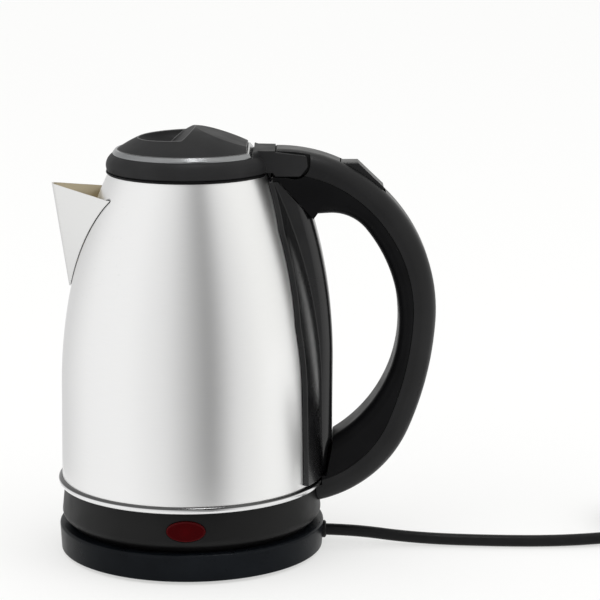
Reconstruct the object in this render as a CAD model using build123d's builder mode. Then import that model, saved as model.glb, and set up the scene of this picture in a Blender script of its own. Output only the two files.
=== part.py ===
from build123d import *
import math
import os

os.makedirs("parts", exist_ok=True)

# A cordless electric kettle docked on its round power base, in millimetres.
# Both share the Z axis and the floor is z = 0. The handle points to +X, the
# spout to -X and the indicator lamp to -Y. The supply cord leaves towards +X.

# Clearances, and how far a cutting outline reaches past what it cuts
pin_running_gap = 0.05
pin_fixed_gap = 0.02
slip_gap = 0.15
seam_gap = 0.3
dock_gap = 0.3
cut_past = 30.0

# Power base
base_margin = 1.5
base_wall_height = 15.0
base_wall = 2.2
base_wall_draft = 0.8
base_rim_round = 1.5
base_land_width = 14.5
base_slope_radius = 51.5
base_slope_rise = 1.5
plateau_radius = 38.0
plateau_rise = 9.5
collar_radius = 19.0
collar_depth = 4.5
collar_foot_margin = 2.4
base_plate = 2.0
foot_standout = 2.0
foot_radius = 6.0
foot_sink = 1.0
foot_edge = 0.6
foot_edge_margin = 15.5
foot_count = 4
foot_first_angle = 45.0
screw_radius = 1.3
screw_head_radius = 2.8
screw_head_height = 1.1
screw_head_sink = 0.2
screw_tip_gap = 2.0
screw_boss_radius = 3.6
screw_edge_margin = 7.5
screw_count = 3
screw_first_angle = 60.0

# Connector pillar and its mating socket
pillar_radius = 13.0
pillar_height = 13.0
pillar_edge_round = 1.2
pillar_flare_rise = 0.5
pillar_flange_radius = 24.0
pillar_flange = 2.0
contact_recess_radius = 8.5
contact_depth = 10.0
hub_radius = 3.5
earth_hole_radius = 1.9
divider_inner = 5.4
divider_outer = 6.6
divider_slot = 2.4
divider_slots = 3
divider_first_angle = -30.0
contact_ring_height = 1.5
ring_thickness = 0.7
live_ring_radius = 4.4
neutral_ring_radius = 7.5
earth_pin_radius = 1.5
earth_pin_edge = 0.6
socket_gap = 0.7
socket_lead_in = 3.0
socket_neck_wall = 7.0

# Kettle floor housing
skirt_height = 23.0
skirt_inset = 1.6
skirt_flare = 2.0
skirt_edge_round = 5.0
housing_wall = 2.2
standing_ring = 6.0
floor_recess_slope = 3.5
floor_recess_rise = 4.0
slope_clearance = 2.0
plateau_clearance = 1.2
plateau_side_gap = 4.0
control_radius = 32.0
control_roof = 2.6
control_edge = 1.5
lens_width = 22.0
lens_height = 12.0
lens_standout = 0.9
lens_drop = 12.0
lamp_radius = 2.6
lamp_length = 13.0
lamp_holder_wall = 2.4
lamp_holder_depth = 3.2

# Steel body
body_height = 178.0
body_radius = 74.6
body_straight_height = 55.0
body_straight_taper = 0.7
mouth_radius = 45.0
steel = 0.9
bead_radius = 2.1
element_tube_radius = 3.3
element_ring_radius = 42.0
element_sweep = 300.0
spreader_radius = 51.0
spreader = 2.5
spreader_edge = 0.8
heating_plate_rim = 7.0
heating_plate_draft = 3.0
disc_radius = 8.0
disc_thickness = 0.7
disc_offset = 17.0

# Spout
spout_overhang = 32.5
spout_top_drop = 7.2
spout_lip_fall = 6.0
spout_foot_drop = 66.0
spout_foot_standout = 0.6
spout_root_inset = 20.0
spout_spare_height = 4.0
spout_half_width = 38.0
spout_nose_radius = 5.0
spout_low_half_width = 50.0
spout_low_nose_radius = 4.0
spout_opening_half_width = 13.0
spout_opening_height = 30.0
spout_opening_drop = 16.0
spout_opening_round = 5.0
filter_margin = 3.0
filter_plate = 1.0
filter_slot_width = 2.4
filter_slot_pitch = 4.6
filter_slots = 6

# Lid
lid_lift = 0.5
collar_bulge = 1.7
collar_tuck = 0.5
band_height = 9.8
bulge_rise = 3.3
band_lean = 1.9
ledge_width = 8.0
band_wall = 2.6
trim_width = 2.6
trim_height = 2.6
trim_inset = 0.3
trim_bevel_drop = 1.8
trim_bevel_width = 1.5
dome_height = 12.8
dome_fullness = 0.76
lid_chord_inset = 9.0
lid_corner_radius = 2.5
scoop_radius = 26.0
scoop_centre = -3.0
scoop_depth = 12.0
scoop_floor_round = 9.0
scoop_undercut = 4.0
scoop_ramp_angle = 38.0
scoop_ridge = 4.0
rear_slope_angle = 19.0
plug_side_gap = 1.9
plug_depth = 8.0
inner_plate = 0.8
seal_height = 3.0
seal_standout = 0.9
seal_drop = 4.0
seal_gap = 0.05

# Lid hinge
hinge_back = 15.0
hinge_rise = 5.5
hinge_pin_radius = 1.5
hinge_pin_skin = 1.2
knuckle_radius = 12.6
knuckle_half_width = 11.0
arm_thickness = 4.2
arm_reach = 7.2
arm_drop = 7.0
arm_top = 4.4
arm_lean = 0.6
arm_heel = 3.0
arm_heel_rise = 5.5
arm_round = 2.2
arm_front = 6.0
arm_chin_back = 4.2
arm_chin_front = 2.6
arm_pocket_gap = 0.7
bridge_gap = 1.0
bridge_dip = 0.4
bridge_floor = 2.0
bridge_foot = 4.0
lip_rise = 3.2
lip_round = 1.4

# Handle and spine
handle_half_width = 15.5
handle_round = 8.5
handle_inner_round = 6.5
handle_standoff = 65.4
handle_shell = 13.0
parting_gap = 0.25
neck_rise = 13.2
neck_heading = 2.0
neck_start_back = 3.0
neck_bend_back = 25.4
neck_bend_drop = 2.3
neck_chin_back = 2.4
neck_floor_drop = 0.8
grip_height = 92.0
grip_thickness = 22.0
heel_inset = 15.0
heel_height = 29.3
foot_drop = 13.0
foot_tuck = 6.0
finger_heading = 32.0
finger_foot_back = 0.9
finger_foot_rise = 0.7
finger_waist_height = 80.0
finger_top_drop = 32.0
finger_tip_back = 4.4
finger_tip_drop = 23.0
finger_lip_back = 2.0
finger_lip_drop = 23.4
spine_half_width = 14.5
spine_depth = 6.6
spine_top_depth = 12.8
spine_top_drop = 26.0
spine_foot_rise = 3.4
spine_foot_margin = 1.0
spine_bend_rise = 25.0
spine_waist_rise = 70.0
spine_waist_bulge = 0.4
spine_tip_back = 5.3
spine_tip_drop = 4.5
spine_core_inset = 15.0
spine_channel_drop = 18.0
spine_round = 6.0
spine_channel_half_width = 8.0
spine_channel_wall = 2.6
flange_thickness = 2.4
flange_half_width = 37.0
flange_top_half_width = 15.0
flange_shoulder_drop = 30.0
flange_shoulder_half_width = 27.0
flange_taper_rise = 40.0

# Switch in the top of the handle
rocker_half_width = 8.0
rocker_pin_radius = 1.5
rocker_pin_length = 20.0
rocker_reach = 12.0
rocker_rise = 8.5
rocker_fall = 5.4
rocker_edge = 2.4
rocker_edge_round = 1.2
rocker_flat_end = 2.6
rocker_belly_front = 9.0
rocker_belly_rise = 1.7
rocker_keel_front = 1.0
rocker_keel_drop = 5.3
rocker_front_gap = 0.6
rocker_rear_gap = 2.2
rocker_belly_gap = 1.0
rocker_swing_room = 3.0
rocker_tail_room = 3.5
rocker_back = 23.4
rocker_drop = 3.2
switch_half_width = 7.5
switch_length = 15.0
switch_height = 6.3
switch_drop = 21.5
switch_back = 11.4
switch_end_room = 2.0
switch_roof_drop = 15.0
switch_roof_reach = 4.0
switch_apex_drop = 7.0
plunger_radius = 1.6
plunger_inset = 4.0
plunger_tip_drop = 1.2
steam_disc_radius = 3.2
steam_disc = 0.7
strip_width = 2.0
strip_thickness = 1.0
strip_spread = 5.2
strip_bend_radius = 3.2
strip_drop = 16.4
strip_turn_back = 15.5
strip_upper_drop = 42.0
strip_upper_gap = 4.0
strip_middle_rise = 105.0
strip_middle_gap = 2.8
strip_side_rise = 75.0
strip_side_gap = 1.7
strip_foot_rise = 30.0
strip_foot_gap = 2.1
strip_heel_rise = 12.0
strip_heel_gap = 5.0
strip_end_inset = 8.0
wire_way_drop = 9.0
wire_way_radius = 2.5
wire_way_half_width = 7.0
wire_way_depth = 30.0
wire_way_roof_drop = 13.0
wire_way_floor_drop = 19.5
wire_way_front_room = 6.6
wire_way_back_room = 1.4
foot_way_front = 2.8
foot_way_throat = 4.8
foot_way_back = 8.2
foot_way_reach = 4.0
foot_way_top = 2.0
foot_way_shoulder = 9.0
foot_way_heel = 8.0

# Supply cord
cord_diameter = 6.8
cord_sides = 8
cord_height = 9.2
cord_inner_reach = 11.5
cord_floor_gap = 0.1
bush_wall = 1.7
bush_standout = 1.6
bush_flange = 2.0
bush_flange_inset = 3.0
bush_edge = 0.8
clamp_inset = 1.0
clamp_length = 5.0
coil_centre_x = 288.0
coil_outer_radius = 41.0
coil_inner_radius = 34.0
coil_layer_step = 7.6
coil_clear_of_floor = 1.4
coil_spiral_turns = 0.75
coil_climb_turns = 0.5
tie_width = 9.0
tie_thickness = 0.7
tie_slack = 0.6
plug_axis_height = 18.9
plug_radius_outer = 18.6
plug_flat = 15.5
plug_length = 34.0
plug_boot_length = 18.0
plug_boot_radius = 8.2
plug_boot_wall = 1.2
plug_neck_radius = 14.9
plug_neck_length = 6.0
plug_waist_radius = 16.0
plug_head_back = 14.0
plug_head_front = 11.0
plug_pin_radius = 2.4
plug_pin_length = 19.0
plug_pin_spacing = 19.0
plug_pin_edge = 1.2
plug_tail = 26.0

# Sizes and heights that follow from the ones above
skirt_top_radius = body_radius - skirt_inset
skirt_radius = skirt_top_radius + skirt_flare
floor_ring_inner = skirt_radius - skirt_edge_round - standing_ring
floor_recess_radius = floor_ring_inner - floor_recess_slope
base_radius = skirt_radius + base_margin
base_inner_radius = base_radius - base_wall_draft - base_wall
base_land_inner = base_radius - base_land_width
foot_circle = base_inner_radius - foot_edge_margin
screw_circle = base_inner_radius - screw_edge_margin
collar_foot_radius = pillar_radius + collar_foot_margin
socket_neck_radius = pillar_radius + socket_neck_wall
spout_reach = mouth_radius + spout_overhang
plug_radius = mouth_radius - steel - plug_side_gap
lid_chord = mouth_radius - lid_chord_inset
bridge_front = lid_chord + bridge_gap
cord_inner_end = base_inner_radius - cord_inner_reach
base_floor_z = foot_standout
base_rim_z = base_floor_z + base_wall_height
plateau_z = base_rim_z + plateau_rise
pillar_top_z = plateau_z + pillar_height
contact_floor_z = pillar_top_z - contact_depth
kettle_floor_z = base_rim_z + dock_gap
skirt_top_z = kettle_floor_z + skirt_height
bead_z = skirt_top_z + bead_radius
rim_z = bead_z + body_height
socket_floor_z = plateau_z + plateau_clearance
housing_floor_top_z = socket_floor_z + housing_wall
socket_roof_z = pillar_top_z + socket_gap
control_top_z = socket_roof_z + control_roof
disc_top_z = control_top_z + disc_thickness
spreader_top_z = disc_top_z + spreader
pin_x = mouth_radius + hinge_back
pin_z = rim_z + hinge_rise
grip_x = body_radius + handle_standoff
shoulder_radius = body_radius - body_straight_taper
shoulder_z = bead_z + body_straight_height
wire_way_z = bead_z - wire_way_drop
cord_radius = cord_diameter / 2
cord_floor_z = cord_radius + cord_floor_gap


def heading_between(start, end):
    """Direction from one point to the next, in degrees."""
    return math.degrees(math.atan2(end[1] - start[1], end[0] - start[0]))


def arc_headings(points, first_heading):
    """Heading at each point of a chain of tangent arcs."""
    headings = [first_heading]
    for start, end in zip(points, points[1:]):
        headings.append(2 * heading_between(start, end) - headings[-1])
    return headings


def shifted(points, first_heading, distance):
    """The chain's points moved to the right of the travel, square to it."""
    moved = []
    for point, heading in zip(points, arc_headings(points, first_heading)):
        across = math.radians(heading - 90)
        moved.append((point[0] + distance * math.cos(across), point[1] + distance * math.sin(across)))
    return moved


def tangent_chain(points, first_heading):
    """Tangent arcs through the points, drawn into the current line."""
    for start, end, heading in zip(points, points[1:], arc_headings(points, first_heading)):
        along = math.radians(heading)
        TangentArc(start, end, tangent=(math.cos(along), math.sin(along)))


wall_line = [(body_radius, bead_z), (shoulder_radius, shoulder_z)]
wall_heading = heading_between(*wall_line)
wall_arc = [(shoulder_radius, shoulder_z), (mouth_radius, rim_z)]


def wall_points(gap, low_z):
    """Foot at a height, shoulder and mouth of the steel wall's outside, moved outwards by the gap."""
    shoulder, mouth = shifted(wall_arc, wall_heading, gap)
    lean = body_straight_taper / body_straight_height
    return (shoulder[0] + lean * (shoulder[1] - low_z), low_z), shoulder, mouth


def wall_radius(height):
    """Outside radius of the steel wall at a height above its shoulder."""
    chord_heading = math.radians(heading_between(*wall_arc))
    half_turn = chord_heading - math.radians(wall_heading)
    chord = math.dist(*wall_arc)
    bend = chord / (2 * math.sin(half_turn))
    climb = math.asin((height - shoulder_z) / bend)
    return shoulder_radius - bend * (1 - math.cos(climb))


def wall_band(outer_gap, inner_gap, low_z):
    """Profile between two lines that follow the steel wall, from a height up to the mouth."""
    outer_foot, outer_shoulder, outer_mouth = wall_points(outer_gap, low_z)
    inner_foot, inner_shoulder, inner_mouth = wall_points(inner_gap, low_z)
    with BuildSketch(Plane.XZ) as band:
        with BuildLine():
            outside = Line(outer_foot, outer_shoulder)
            TangentArc(outer_shoulder, outer_mouth, tangent=outside % 1)
            Line(outer_mouth, inner_mouth)
            inside = Line(inner_foot, inner_shoulder)
            TangentArc(inner_shoulder, inner_mouth, tangent=inside % 1)
            Line(inner_foot, outer_foot)
        make_face()
    return band.sketch


def kettle_envelope(gap):
    """Space that the body, its bead and its skirt take up, with the gap around it."""
    foot, shoulder, mouth = wall_points(gap, bead_z + bead_radius + gap)
    bead_edge = body_radius + bead_radius + gap
    with BuildPart() as envelope:
        with BuildSketch(Plane.XZ):
            with BuildLine():
                Polyline((0, kettle_floor_z), (skirt_radius + gap, kettle_floor_z),
                         (skirt_top_radius + gap, skirt_top_z - gap), (bead_edge, skirt_top_z - gap),
                         (bead_edge, foot[1]), foot)
                side = Line(foot, shoulder)
                TangentArc(shoulder, mouth, tangent=side % 1)
                Polyline(mouth, (0, mouth[1]), (0, kettle_floor_z))
            make_face()
        revolve(axis=Axis.Z)
    return envelope.part


def ring_profile(inner, outer, low, high):
    """Rectangular section of a ring."""
    with BuildSketch(Plane.XZ) as section:
        with Locations(((inner + outer) / 2, (low + high) / 2)):
            Rectangle(outer - inner, high - low)
    return section.sketch


def side_outline(points):
    """Closed outline of straight lines in the XZ plane."""
    with BuildSketch(Plane.XZ) as outline:
        with BuildLine():
            Polyline(*points, close=True)
        make_face()
    return outline.sketch


def shell_profile(points, thickness):
    """Closed profile that follows the points and is the thickness deep on its right."""
    headings = [heading_between(start, end) for start, end in zip(points, points[1:])]
    arriving = headings[:1] + headings
    leaving = headings + headings[-1:]
    far_side = []
    for point, before, after in zip(points, arriving, leaving):
        half_turn = math.radians(after - before) / 2
        across = math.radians((before + after) / 2 - 90)
        reach = thickness / math.cos(half_turn)
        far_side.append((point[0] + reach * math.cos(across), point[1] + reach * math.sin(across)))
    return side_outline(points + far_side[::-1])


def circle_edges(part, radius, height):
    """Round edges of one radius at one height."""
    return part.edges().filter_by(GeomType.CIRCLE).filter_by(
        lambda edge: abs(edge.radius - radius) < 0.01 and abs(edge.arc_center.Z - height) < 0.01)


def save(part, name):
    """Name the piece and write it."""
    part.label = name
    export_step(part, f"parts/{name}.step")


# Power base: moulded top cover with a raised, sloped plateau and a dished collar
with BuildPart() as base_top_cover:
    revolve(shell_profile([
        (collar_foot_radius, plateau_z - collar_depth), (collar_radius, plateau_z),
        (plateau_radius, plateau_z), (base_slope_radius, base_rim_z + base_slope_rise),
        (base_land_inner, base_rim_z), (base_radius, base_rim_z),
        (base_radius - base_wall_draft, base_floor_z)], base_wall), axis=Axis.Z)
    fillet(circle_edges(base_top_cover, base_radius, base_rim_z), base_rim_round)
    chamfer(circle_edges(base_top_cover, plateau_radius, plateau_z), base_rim_round)
    with BuildSketch(Plane.XY.offset(base_floor_z + base_plate)):
        with PolarLocations(screw_circle, screw_count, screw_first_angle):
            Circle(screw_boss_radius)
    extrude(until=Until.NEXT)
    with BuildSketch(Plane.XY.offset(base_floor_z + base_plate)):
        with PolarLocations(screw_circle, screw_count, screw_first_angle):
            Circle(screw_radius + slip_gap)
    extrude(amount=base_wall_height - base_plate - base_wall, mode=Mode.SUBTRACT)
    with BuildSketch(Plane.YZ.offset(base_inner_radius - base_wall)):
        with Locations((0, cord_height)):
            Circle(cord_radius + bush_wall + slip_gap)
    extrude(amount=base_wall * 4, mode=Mode.SUBTRACT)
save(base_top_cover.part, "base_top_cover")

with BuildPart() as base_bottom_cover:
    with BuildSketch(Plane.XY.offset(base_floor_z)):
        Circle(base_inner_radius - slip_gap)
    extrude(amount=base_plate)
    with BuildSketch(Plane.XY.offset(base_floor_z)):
        with PolarLocations(foot_circle, foot_count, foot_first_angle):
            Circle(foot_radius + slip_gap)
    extrude(amount=foot_sink, mode=Mode.SUBTRACT)
    with Locations(Plane.XY.offset(base_floor_z).rotated((180, 0, 0))):
        with PolarLocations(screw_circle, screw_count, screw_first_angle):
            CounterBoreHole(screw_radius + slip_gap, screw_head_radius + slip_gap,
                            screw_head_height + screw_head_sink)
save(base_bottom_cover.part, "base_bottom_cover")

with BuildPart() as base_feet:
    with BuildSketch():
        with PolarLocations(foot_circle, foot_count, foot_first_angle):
            Circle(foot_radius)
    extrude(amount=foot_standout + foot_sink)
    chamfer(base_feet.edges().group_by(Axis.Z)[0], foot_edge)
save(base_feet.part, "base_feet")

# Screws that hold the two base covers together, heads sunk in the bottom cover
with BuildPart() as base_screws:
    screw_seat_z = base_floor_z + screw_head_height + screw_head_sink
    with BuildSketch(Plane.XY.offset(screw_seat_z)):
        with PolarLocations(screw_circle, screw_count, screw_first_angle):
            Circle(screw_head_radius)
    extrude(amount=-screw_head_height)
    with BuildSketch(Plane.XY.offset(screw_seat_z)):
        with PolarLocations(screw_circle, screw_count, screw_first_angle):
            Circle(screw_radius)
    extrude(amount=base_wall_height - base_plate - base_wall - screw_tip_gap)
save(base_screws.part, "base_screws")

# Connector pillar with its round contact recess and split divider ring
pillar_floor_z = plateau_z - collar_depth - base_wall - seam_gap - pillar_flange
with BuildPart() as connector_pillar:
    with BuildSketch(Plane.XZ):
        with BuildLine():
            Polyline((0, pillar_floor_z), (pillar_flange_radius, pillar_floor_z),
                     (pillar_flange_radius, pillar_floor_z + pillar_flange),
                     (collar_foot_radius - seam_gap, pillar_floor_z + pillar_flange),
                     (collar_foot_radius - seam_gap, plateau_z - collar_depth),
                     (pillar_radius, plateau_z + pillar_flare_rise), (pillar_radius, pillar_top_z),
                     (0, pillar_top_z), close=True)
        make_face()
    revolve(axis=Axis.Z)
    fillet(circle_edges(connector_pillar, pillar_radius, pillar_top_z), pillar_edge_round)
    revolve(ring_profile(hub_radius, divider_inner, contact_floor_z, pillar_top_z),
            axis=Axis.Z, mode=Mode.SUBTRACT)
    revolve(ring_profile(divider_outer, contact_recess_radius, contact_floor_z, pillar_top_z),
            axis=Axis.Z, mode=Mode.SUBTRACT)
    with BuildSketch(Plane.XY.offset(pillar_top_z)):
        with PolarLocations((divider_inner + divider_outer) / 2, divider_slots, divider_first_angle):
            Rectangle(divider_outer - divider_inner + 2 * seam_gap, divider_slot)
    extrude(amount=-contact_depth, mode=Mode.SUBTRACT)
    with Locations((0, 0, pillar_top_z)):
        Hole(earth_hole_radius, contact_depth + contact_ring_height)
save(connector_pillar.part, "connector_pillar")


def contact_ring(radius, low, high):
    """Thin brass ring around the axis."""
    with BuildPart() as ring:
        revolve(ring_profile(radius - ring_thickness / 2, radius + ring_thickness / 2, low, high),
                axis=Axis.Z)
    return ring.part


contact_top_z = contact_floor_z + contact_ring_height
save(contact_ring(live_ring_radius, contact_floor_z, contact_top_z), "base_live_contact")
save(contact_ring(neutral_ring_radius, contact_floor_z, contact_top_z), "base_neutral_contact")

with BuildPart() as base_earth_contact:
    with BuildSketch(Plane.XY.offset(contact_floor_z - contact_ring_height)):
        Circle(earth_hole_radius - slip_gap)
    extrude(amount=contact_ring_height)
save(base_earth_contact.part, "base_earth_contact")

# Kettle floor housing: tapered skirt, standing ring and a stepped recess over the plateau
housing_recess_z = kettle_floor_z + floor_recess_rise
plateau_wall_radius = plateau_radius + plateau_side_gap
with BuildPart() as floor_housing:
    revolve(shell_profile([
        (skirt_top_radius, skirt_top_z), (skirt_radius, kettle_floor_z + skirt_edge_round),
        (skirt_radius - skirt_edge_round, kettle_floor_z), (floor_ring_inner, kettle_floor_z),
        (floor_recess_radius, housing_recess_z), (base_slope_radius + slope_clearance, housing_recess_z),
        (plateau_wall_radius, socket_floor_z), (socket_neck_radius + slip_gap, socket_floor_z)],
        housing_wall), axis=Axis.Z)
    fillet(circle_edges(floor_housing, skirt_radius, kettle_floor_z + skirt_edge_round), skirt_edge_round)
    fillet(circle_edges(floor_housing, skirt_radius - skirt_edge_round, kettle_floor_z), skirt_edge_round / 2)
    lens_z = bead_z - lens_drop
    with BuildSketch(Plane.XZ.offset(skirt_radius - 3 * housing_wall)):
        with Locations((0, lens_z)):
            Ellipse(lens_width / 2, lens_height / 2)
    extrude(amount=4 * housing_wall, mode=Mode.SUBTRACT)
    with BuildSketch(Plane.YZ.offset(skirt_radius - 3 * housing_wall)):
        with Locations((0, wire_way_z)):
            SlotCenterToCenter(2 * strip_spread, 2 * wire_way_radius)
    extrude(amount=4 * housing_wall, mode=Mode.SUBTRACT)
save(floor_housing.part, "floor_housing")

# Oval indicator lens, domed slightly proud of the skirt
with BuildPart() as indicator_lens:
    with BuildSketch(Plane.XZ.offset(skirt_radius - 2 * housing_wall)):
        with Locations((0, lens_z)):
            Ellipse(lens_width / 2 - slip_gap, lens_height / 2 - slip_gap)
    extrude(amount=3 * housing_wall)
    lens_wall_radius = skirt_top_radius + (skirt_radius - skirt_top_radius) * lens_drop / skirt_height
    revolve(ring_profile(lens_wall_radius - housing_wall, lens_wall_radius + lens_standout,
                         lens_z - lens_height, lens_z + lens_height), axis=Axis.Z, mode=Mode.INTERSECT)
    fillet(indicator_lens.faces().sort_by(Axis.Y)[0].edges(), lens_standout * 0.8)
save(indicator_lens.part, "indicator_lens")

lamp_y = -(floor_ring_inner + skirt_radius - skirt_edge_round) / 2
with BuildPart() as indicator_lamp:
    with BuildSketch(Plane.YZ.offset(-lamp_length / 2)):
        with Locations((lamp_y, lens_z)):
            Circle(lamp_radius)
    extrude(amount=lamp_length)
    chamfer(indicator_lamp.edges().filter_by(GeomType.CIRCLE), lamp_radius / 2)
save(indicator_lamp.part, "indicator_lamp")

# Holder that stands on the housing floor and carries the lamp in a half-round seat
with BuildPart() as lamp_holder:
    with BuildSketch(Plane.XY.offset(kettle_floor_z + housing_wall + seam_gap)):
        with Locations((0, lamp_y)):
            Rectangle(lamp_length - lamp_holder_wall, lamp_holder_depth)
    extrude(amount=lens_z - kettle_floor_z - housing_wall - seam_gap)
    with BuildSketch(Plane.YZ.offset(-lamp_length)):
        with Locations((lamp_y, lens_z)):
            Circle(lamp_radius + slip_gap)
    extrude(amount=2 * lamp_length, mode=Mode.SUBTRACT)
save(lamp_holder.part, "lamp_holder")

# Thermostat control with the round socket that takes the pillar
with BuildPart() as control_body:
    with BuildSketch(Plane.XZ):
        with BuildLine():
            Polyline((0, socket_roof_z), (pillar_radius + socket_gap, socket_roof_z),
                     (pillar_radius + socket_gap, socket_floor_z + socket_lead_in),
                     (pillar_radius + socket_lead_in, socket_floor_z), (socket_neck_radius, socket_floor_z),
                     (socket_neck_radius, housing_floor_top_z + slip_gap),
                     (control_radius, housing_floor_top_z + slip_gap),
                     (control_radius, control_top_z), (0, control_top_z), close=True)
        make_face()
    revolve(axis=Axis.Z)
    chamfer(circle_edges(control_body, control_radius, control_top_z), control_edge)
save(control_body.part, "control_body")

ring_tip_z = contact_top_z + seam_gap
save(contact_ring(live_ring_radius, ring_tip_z, socket_roof_z), "socket_live_ring")
save(contact_ring(neutral_ring_radius, ring_tip_z, socket_roof_z), "socket_neutral_ring")

with BuildPart() as socket_earth_pin:
    with BuildSketch(Plane.XY.offset(contact_floor_z + seam_gap)):
        Circle(earth_pin_radius)
    extrude(amount=socket_roof_z - contact_floor_z - seam_gap)
    chamfer(socket_earth_pin.edges().group_by(Axis.Z)[0], earth_pin_edge)
save(socket_earth_pin.part, "socket_earth_pin")

# Two snap discs of the dry-boil cut-out, between the control and the hot plate
with BuildPart() as dry_boil_discs:
    with BuildSketch(Plane.XY.offset(control_top_z)):
        with Locations((-disc_offset, 0), (disc_offset, 0)):
            Circle(disc_radius)
    extrude(amount=disc_thickness)
save(dry_boil_discs.part, "dry_boil_discs")

with BuildPart() as heat_spreader:
    with BuildSketch(Plane.XY.offset(disc_top_z)):
        Circle(spreader_radius)
    extrude(amount=spreader)
    chamfer(circle_edges(heat_spreader, spreader_radius, disc_top_z), spreader_edge)
save(heat_spreader.part, "heat_spreader")

# Pressed heating element, an open ring under the spreader with two cold tails
element_z = disc_top_z - element_tube_radius
element_start = 90 + (360 - element_sweep) / 2
with BuildPart() as heating_element:
    with BuildLine() as element_line:
        CenterArc((0, 0, element_z), element_ring_radius, element_start, element_sweep)
    with BuildSketch(Plane(element_line.line @ 0, x_dir=(0, 0, 1), z_dir=element_line.line % 0)):
        RegularPolygon(element_tube_radius, 6, major_radius=False, rotation=30)
    sweep()
    with BuildSketch(Plane.XY.offset(element_z)):
        with Locations(element_line.line @ 0, element_line.line @ 1):
            Circle(element_tube_radius / 2)
    extrude(amount=-2 * element_tube_radius)
save(heating_element.part, "heating_element")

# Dished steel floor of the water space, its rim caught by the body's bottom seam
plate_rim_radius = body_radius - steel - slip_gap
with BuildPart() as heating_plate:
    revolve(shell_profile([
        (plate_rim_radius, bead_z), (plate_rim_radius - heating_plate_rim, bead_z),
        (plate_rim_radius - heating_plate_rim - heating_plate_draft, spreader_top_z),
        (0, spreader_top_z)], steel), axis=Axis.Z)
save(heating_plate.part, "heating_plate")

# Rolled seam ring around the foot of the steel body
with BuildPart() as seam_ring:
    with BuildSketch(Plane.XZ):
        with Locations((body_radius + slip_gap / 2, bead_z)):
            Circle(bead_radius)
        with Locations((body_radius + slip_gap / 2 - bead_radius, bead_z)):
            Rectangle(2 * bead_radius, 4 * bead_radius, mode=Mode.SUBTRACT)
    revolve(axis=Axis.Z)
save(seam_ring.part, "seam_ring")

# Steel body with the pouring opening behind the spout
opening_top_z = rim_z - spout_opening_drop
with BuildPart() as body_shell:
    revolve(wall_band(0, -steel, bead_z - bead_radius + slip_gap), axis=Axis.Z)
    with BuildSketch(Plane.YZ):
        with Locations((0, opening_top_z - spout_opening_height / 2)):
            RectangleRounded(2 * spout_opening_half_width, spout_opening_height, spout_opening_round)
    extrude(amount=-body_radius, mode=Mode.SUBTRACT)
save(body_shell.part, "body_shell")

# Slotted filter plate behind the pouring opening
with BuildPart() as spout_filter:
    revolve(wall_band(-steel - slip_gap, -steel - slip_gap - filter_plate, bead_z), axis=Axis.Z)
    with BuildSketch(Plane.YZ):
        with Locations((0, opening_top_z - spout_opening_height / 2)):
            RectangleRounded(2 * (spout_opening_half_width + filter_margin),
                             spout_opening_height + 2 * filter_margin, spout_opening_round)
    extrude(amount=-body_radius, mode=Mode.INTERSECT)
    with BuildSketch(Plane.YZ):
        with Locations((0, opening_top_z - spout_opening_height / 2)):
            with GridLocations(filter_slot_pitch, 0, filter_slots, 1):
                Rectangle(filter_slot_width, spout_opening_height - filter_margin)
    extrude(amount=-body_radius, mode=Mode.SUBTRACT)
save(spout_filter.part, "spout_filter")

# Folded sheet spout: a beak that widens upwards from a point on the body
spout_lip_z = rim_z - spout_top_drop
spout_foot_z = rim_z - spout_foot_drop
spout_foot_reach = wall_radius(spout_foot_z) + spout_foot_standout
spout_nose_slope = (spout_reach - spout_foot_reach) / (spout_lip_z - spout_foot_z)


def spout_section(height, half_width, nose, inset):
    """Beak section at a height, its walls moved inwards by the inset."""
    reach = spout_foot_reach + spout_nose_slope * (height - spout_foot_z) - inset
    side = half_width - inset
    back = mouth_radius - spout_root_inset
    slope = math.atan2(side, reach - back)
    round_x = reach - nose
    touch = Vector(round_x + nose * math.sin(slope), nose * math.cos(slope))
    width_at_back = touch.Y + (touch.X - back) * math.tan(slope)
    with BuildSketch(Plane.XY.offset(height)) as section:
        with BuildLine():
            Line((-back, -width_at_back), (-touch.X, -touch.Y))
            ThreePointArc((-touch.X, -touch.Y), (-reach, 0), (-touch.X, touch.Y))
            Line((-touch.X, touch.Y), (-back, width_at_back))
            Line((-back, width_at_back), (-back, -width_at_back))
        make_face()
    return section.sketch


spout_high_z = spout_lip_z + spout_spare_height
with BuildPart() as spout:
    loft([spout_section(spout_foot_z, spout_low_half_width, spout_low_nose_radius, 0),
          spout_section(spout_high_z, spout_half_width, spout_nose_radius, 0)])
    loft([spout_section(spout_foot_z, spout_low_half_width, spout_low_nose_radius, steel),
          spout_section(spout_high_z, spout_half_width, spout_nose_radius, steel)], mode=Mode.SUBTRACT)
    add(kettle_envelope(seam_gap), mode=Mode.SUBTRACT)
    extrude(side_outline([
        (-spout_reach - cut_past, spout_lip_z + cut_past), (-spout_reach - cut_past, spout_lip_z),
        (-spout_reach, spout_lip_z), (-mouth_radius, spout_lip_z - spout_lip_fall),
        (cut_past - mouth_radius, spout_lip_z - spout_lip_fall),
        (cut_past - mouth_radius, spout_lip_z + cut_past)]),
        amount=2 * spout_half_width, both=True, mode=Mode.SUBTRACT)
save(spout.part, "spout")


def lid_outline(height, radius, chord):
    """Round lid outline cut off by a straight chord at the back, with rounded corners."""
    with BuildSketch(Plane.XY.offset(height)) as outline:
        Circle(radius)
        with Locations((chord + radius, 0)):
            Rectangle(2 * radius, 4 * radius, mode=Mode.SUBTRACT)
        fillet(outline.vertices(), lid_corner_radius)
    return outline.sketch


def hinge_cylinder(radius, half_length):
    """Round bar about the lid hinge axis."""
    with BuildPart() as bar:
        with BuildSketch(Plane.XZ):
            with Locations((pin_x, pin_z)):
                Circle(radius)
        extrude(amount=half_length, both=True)
    return bar.part


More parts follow.
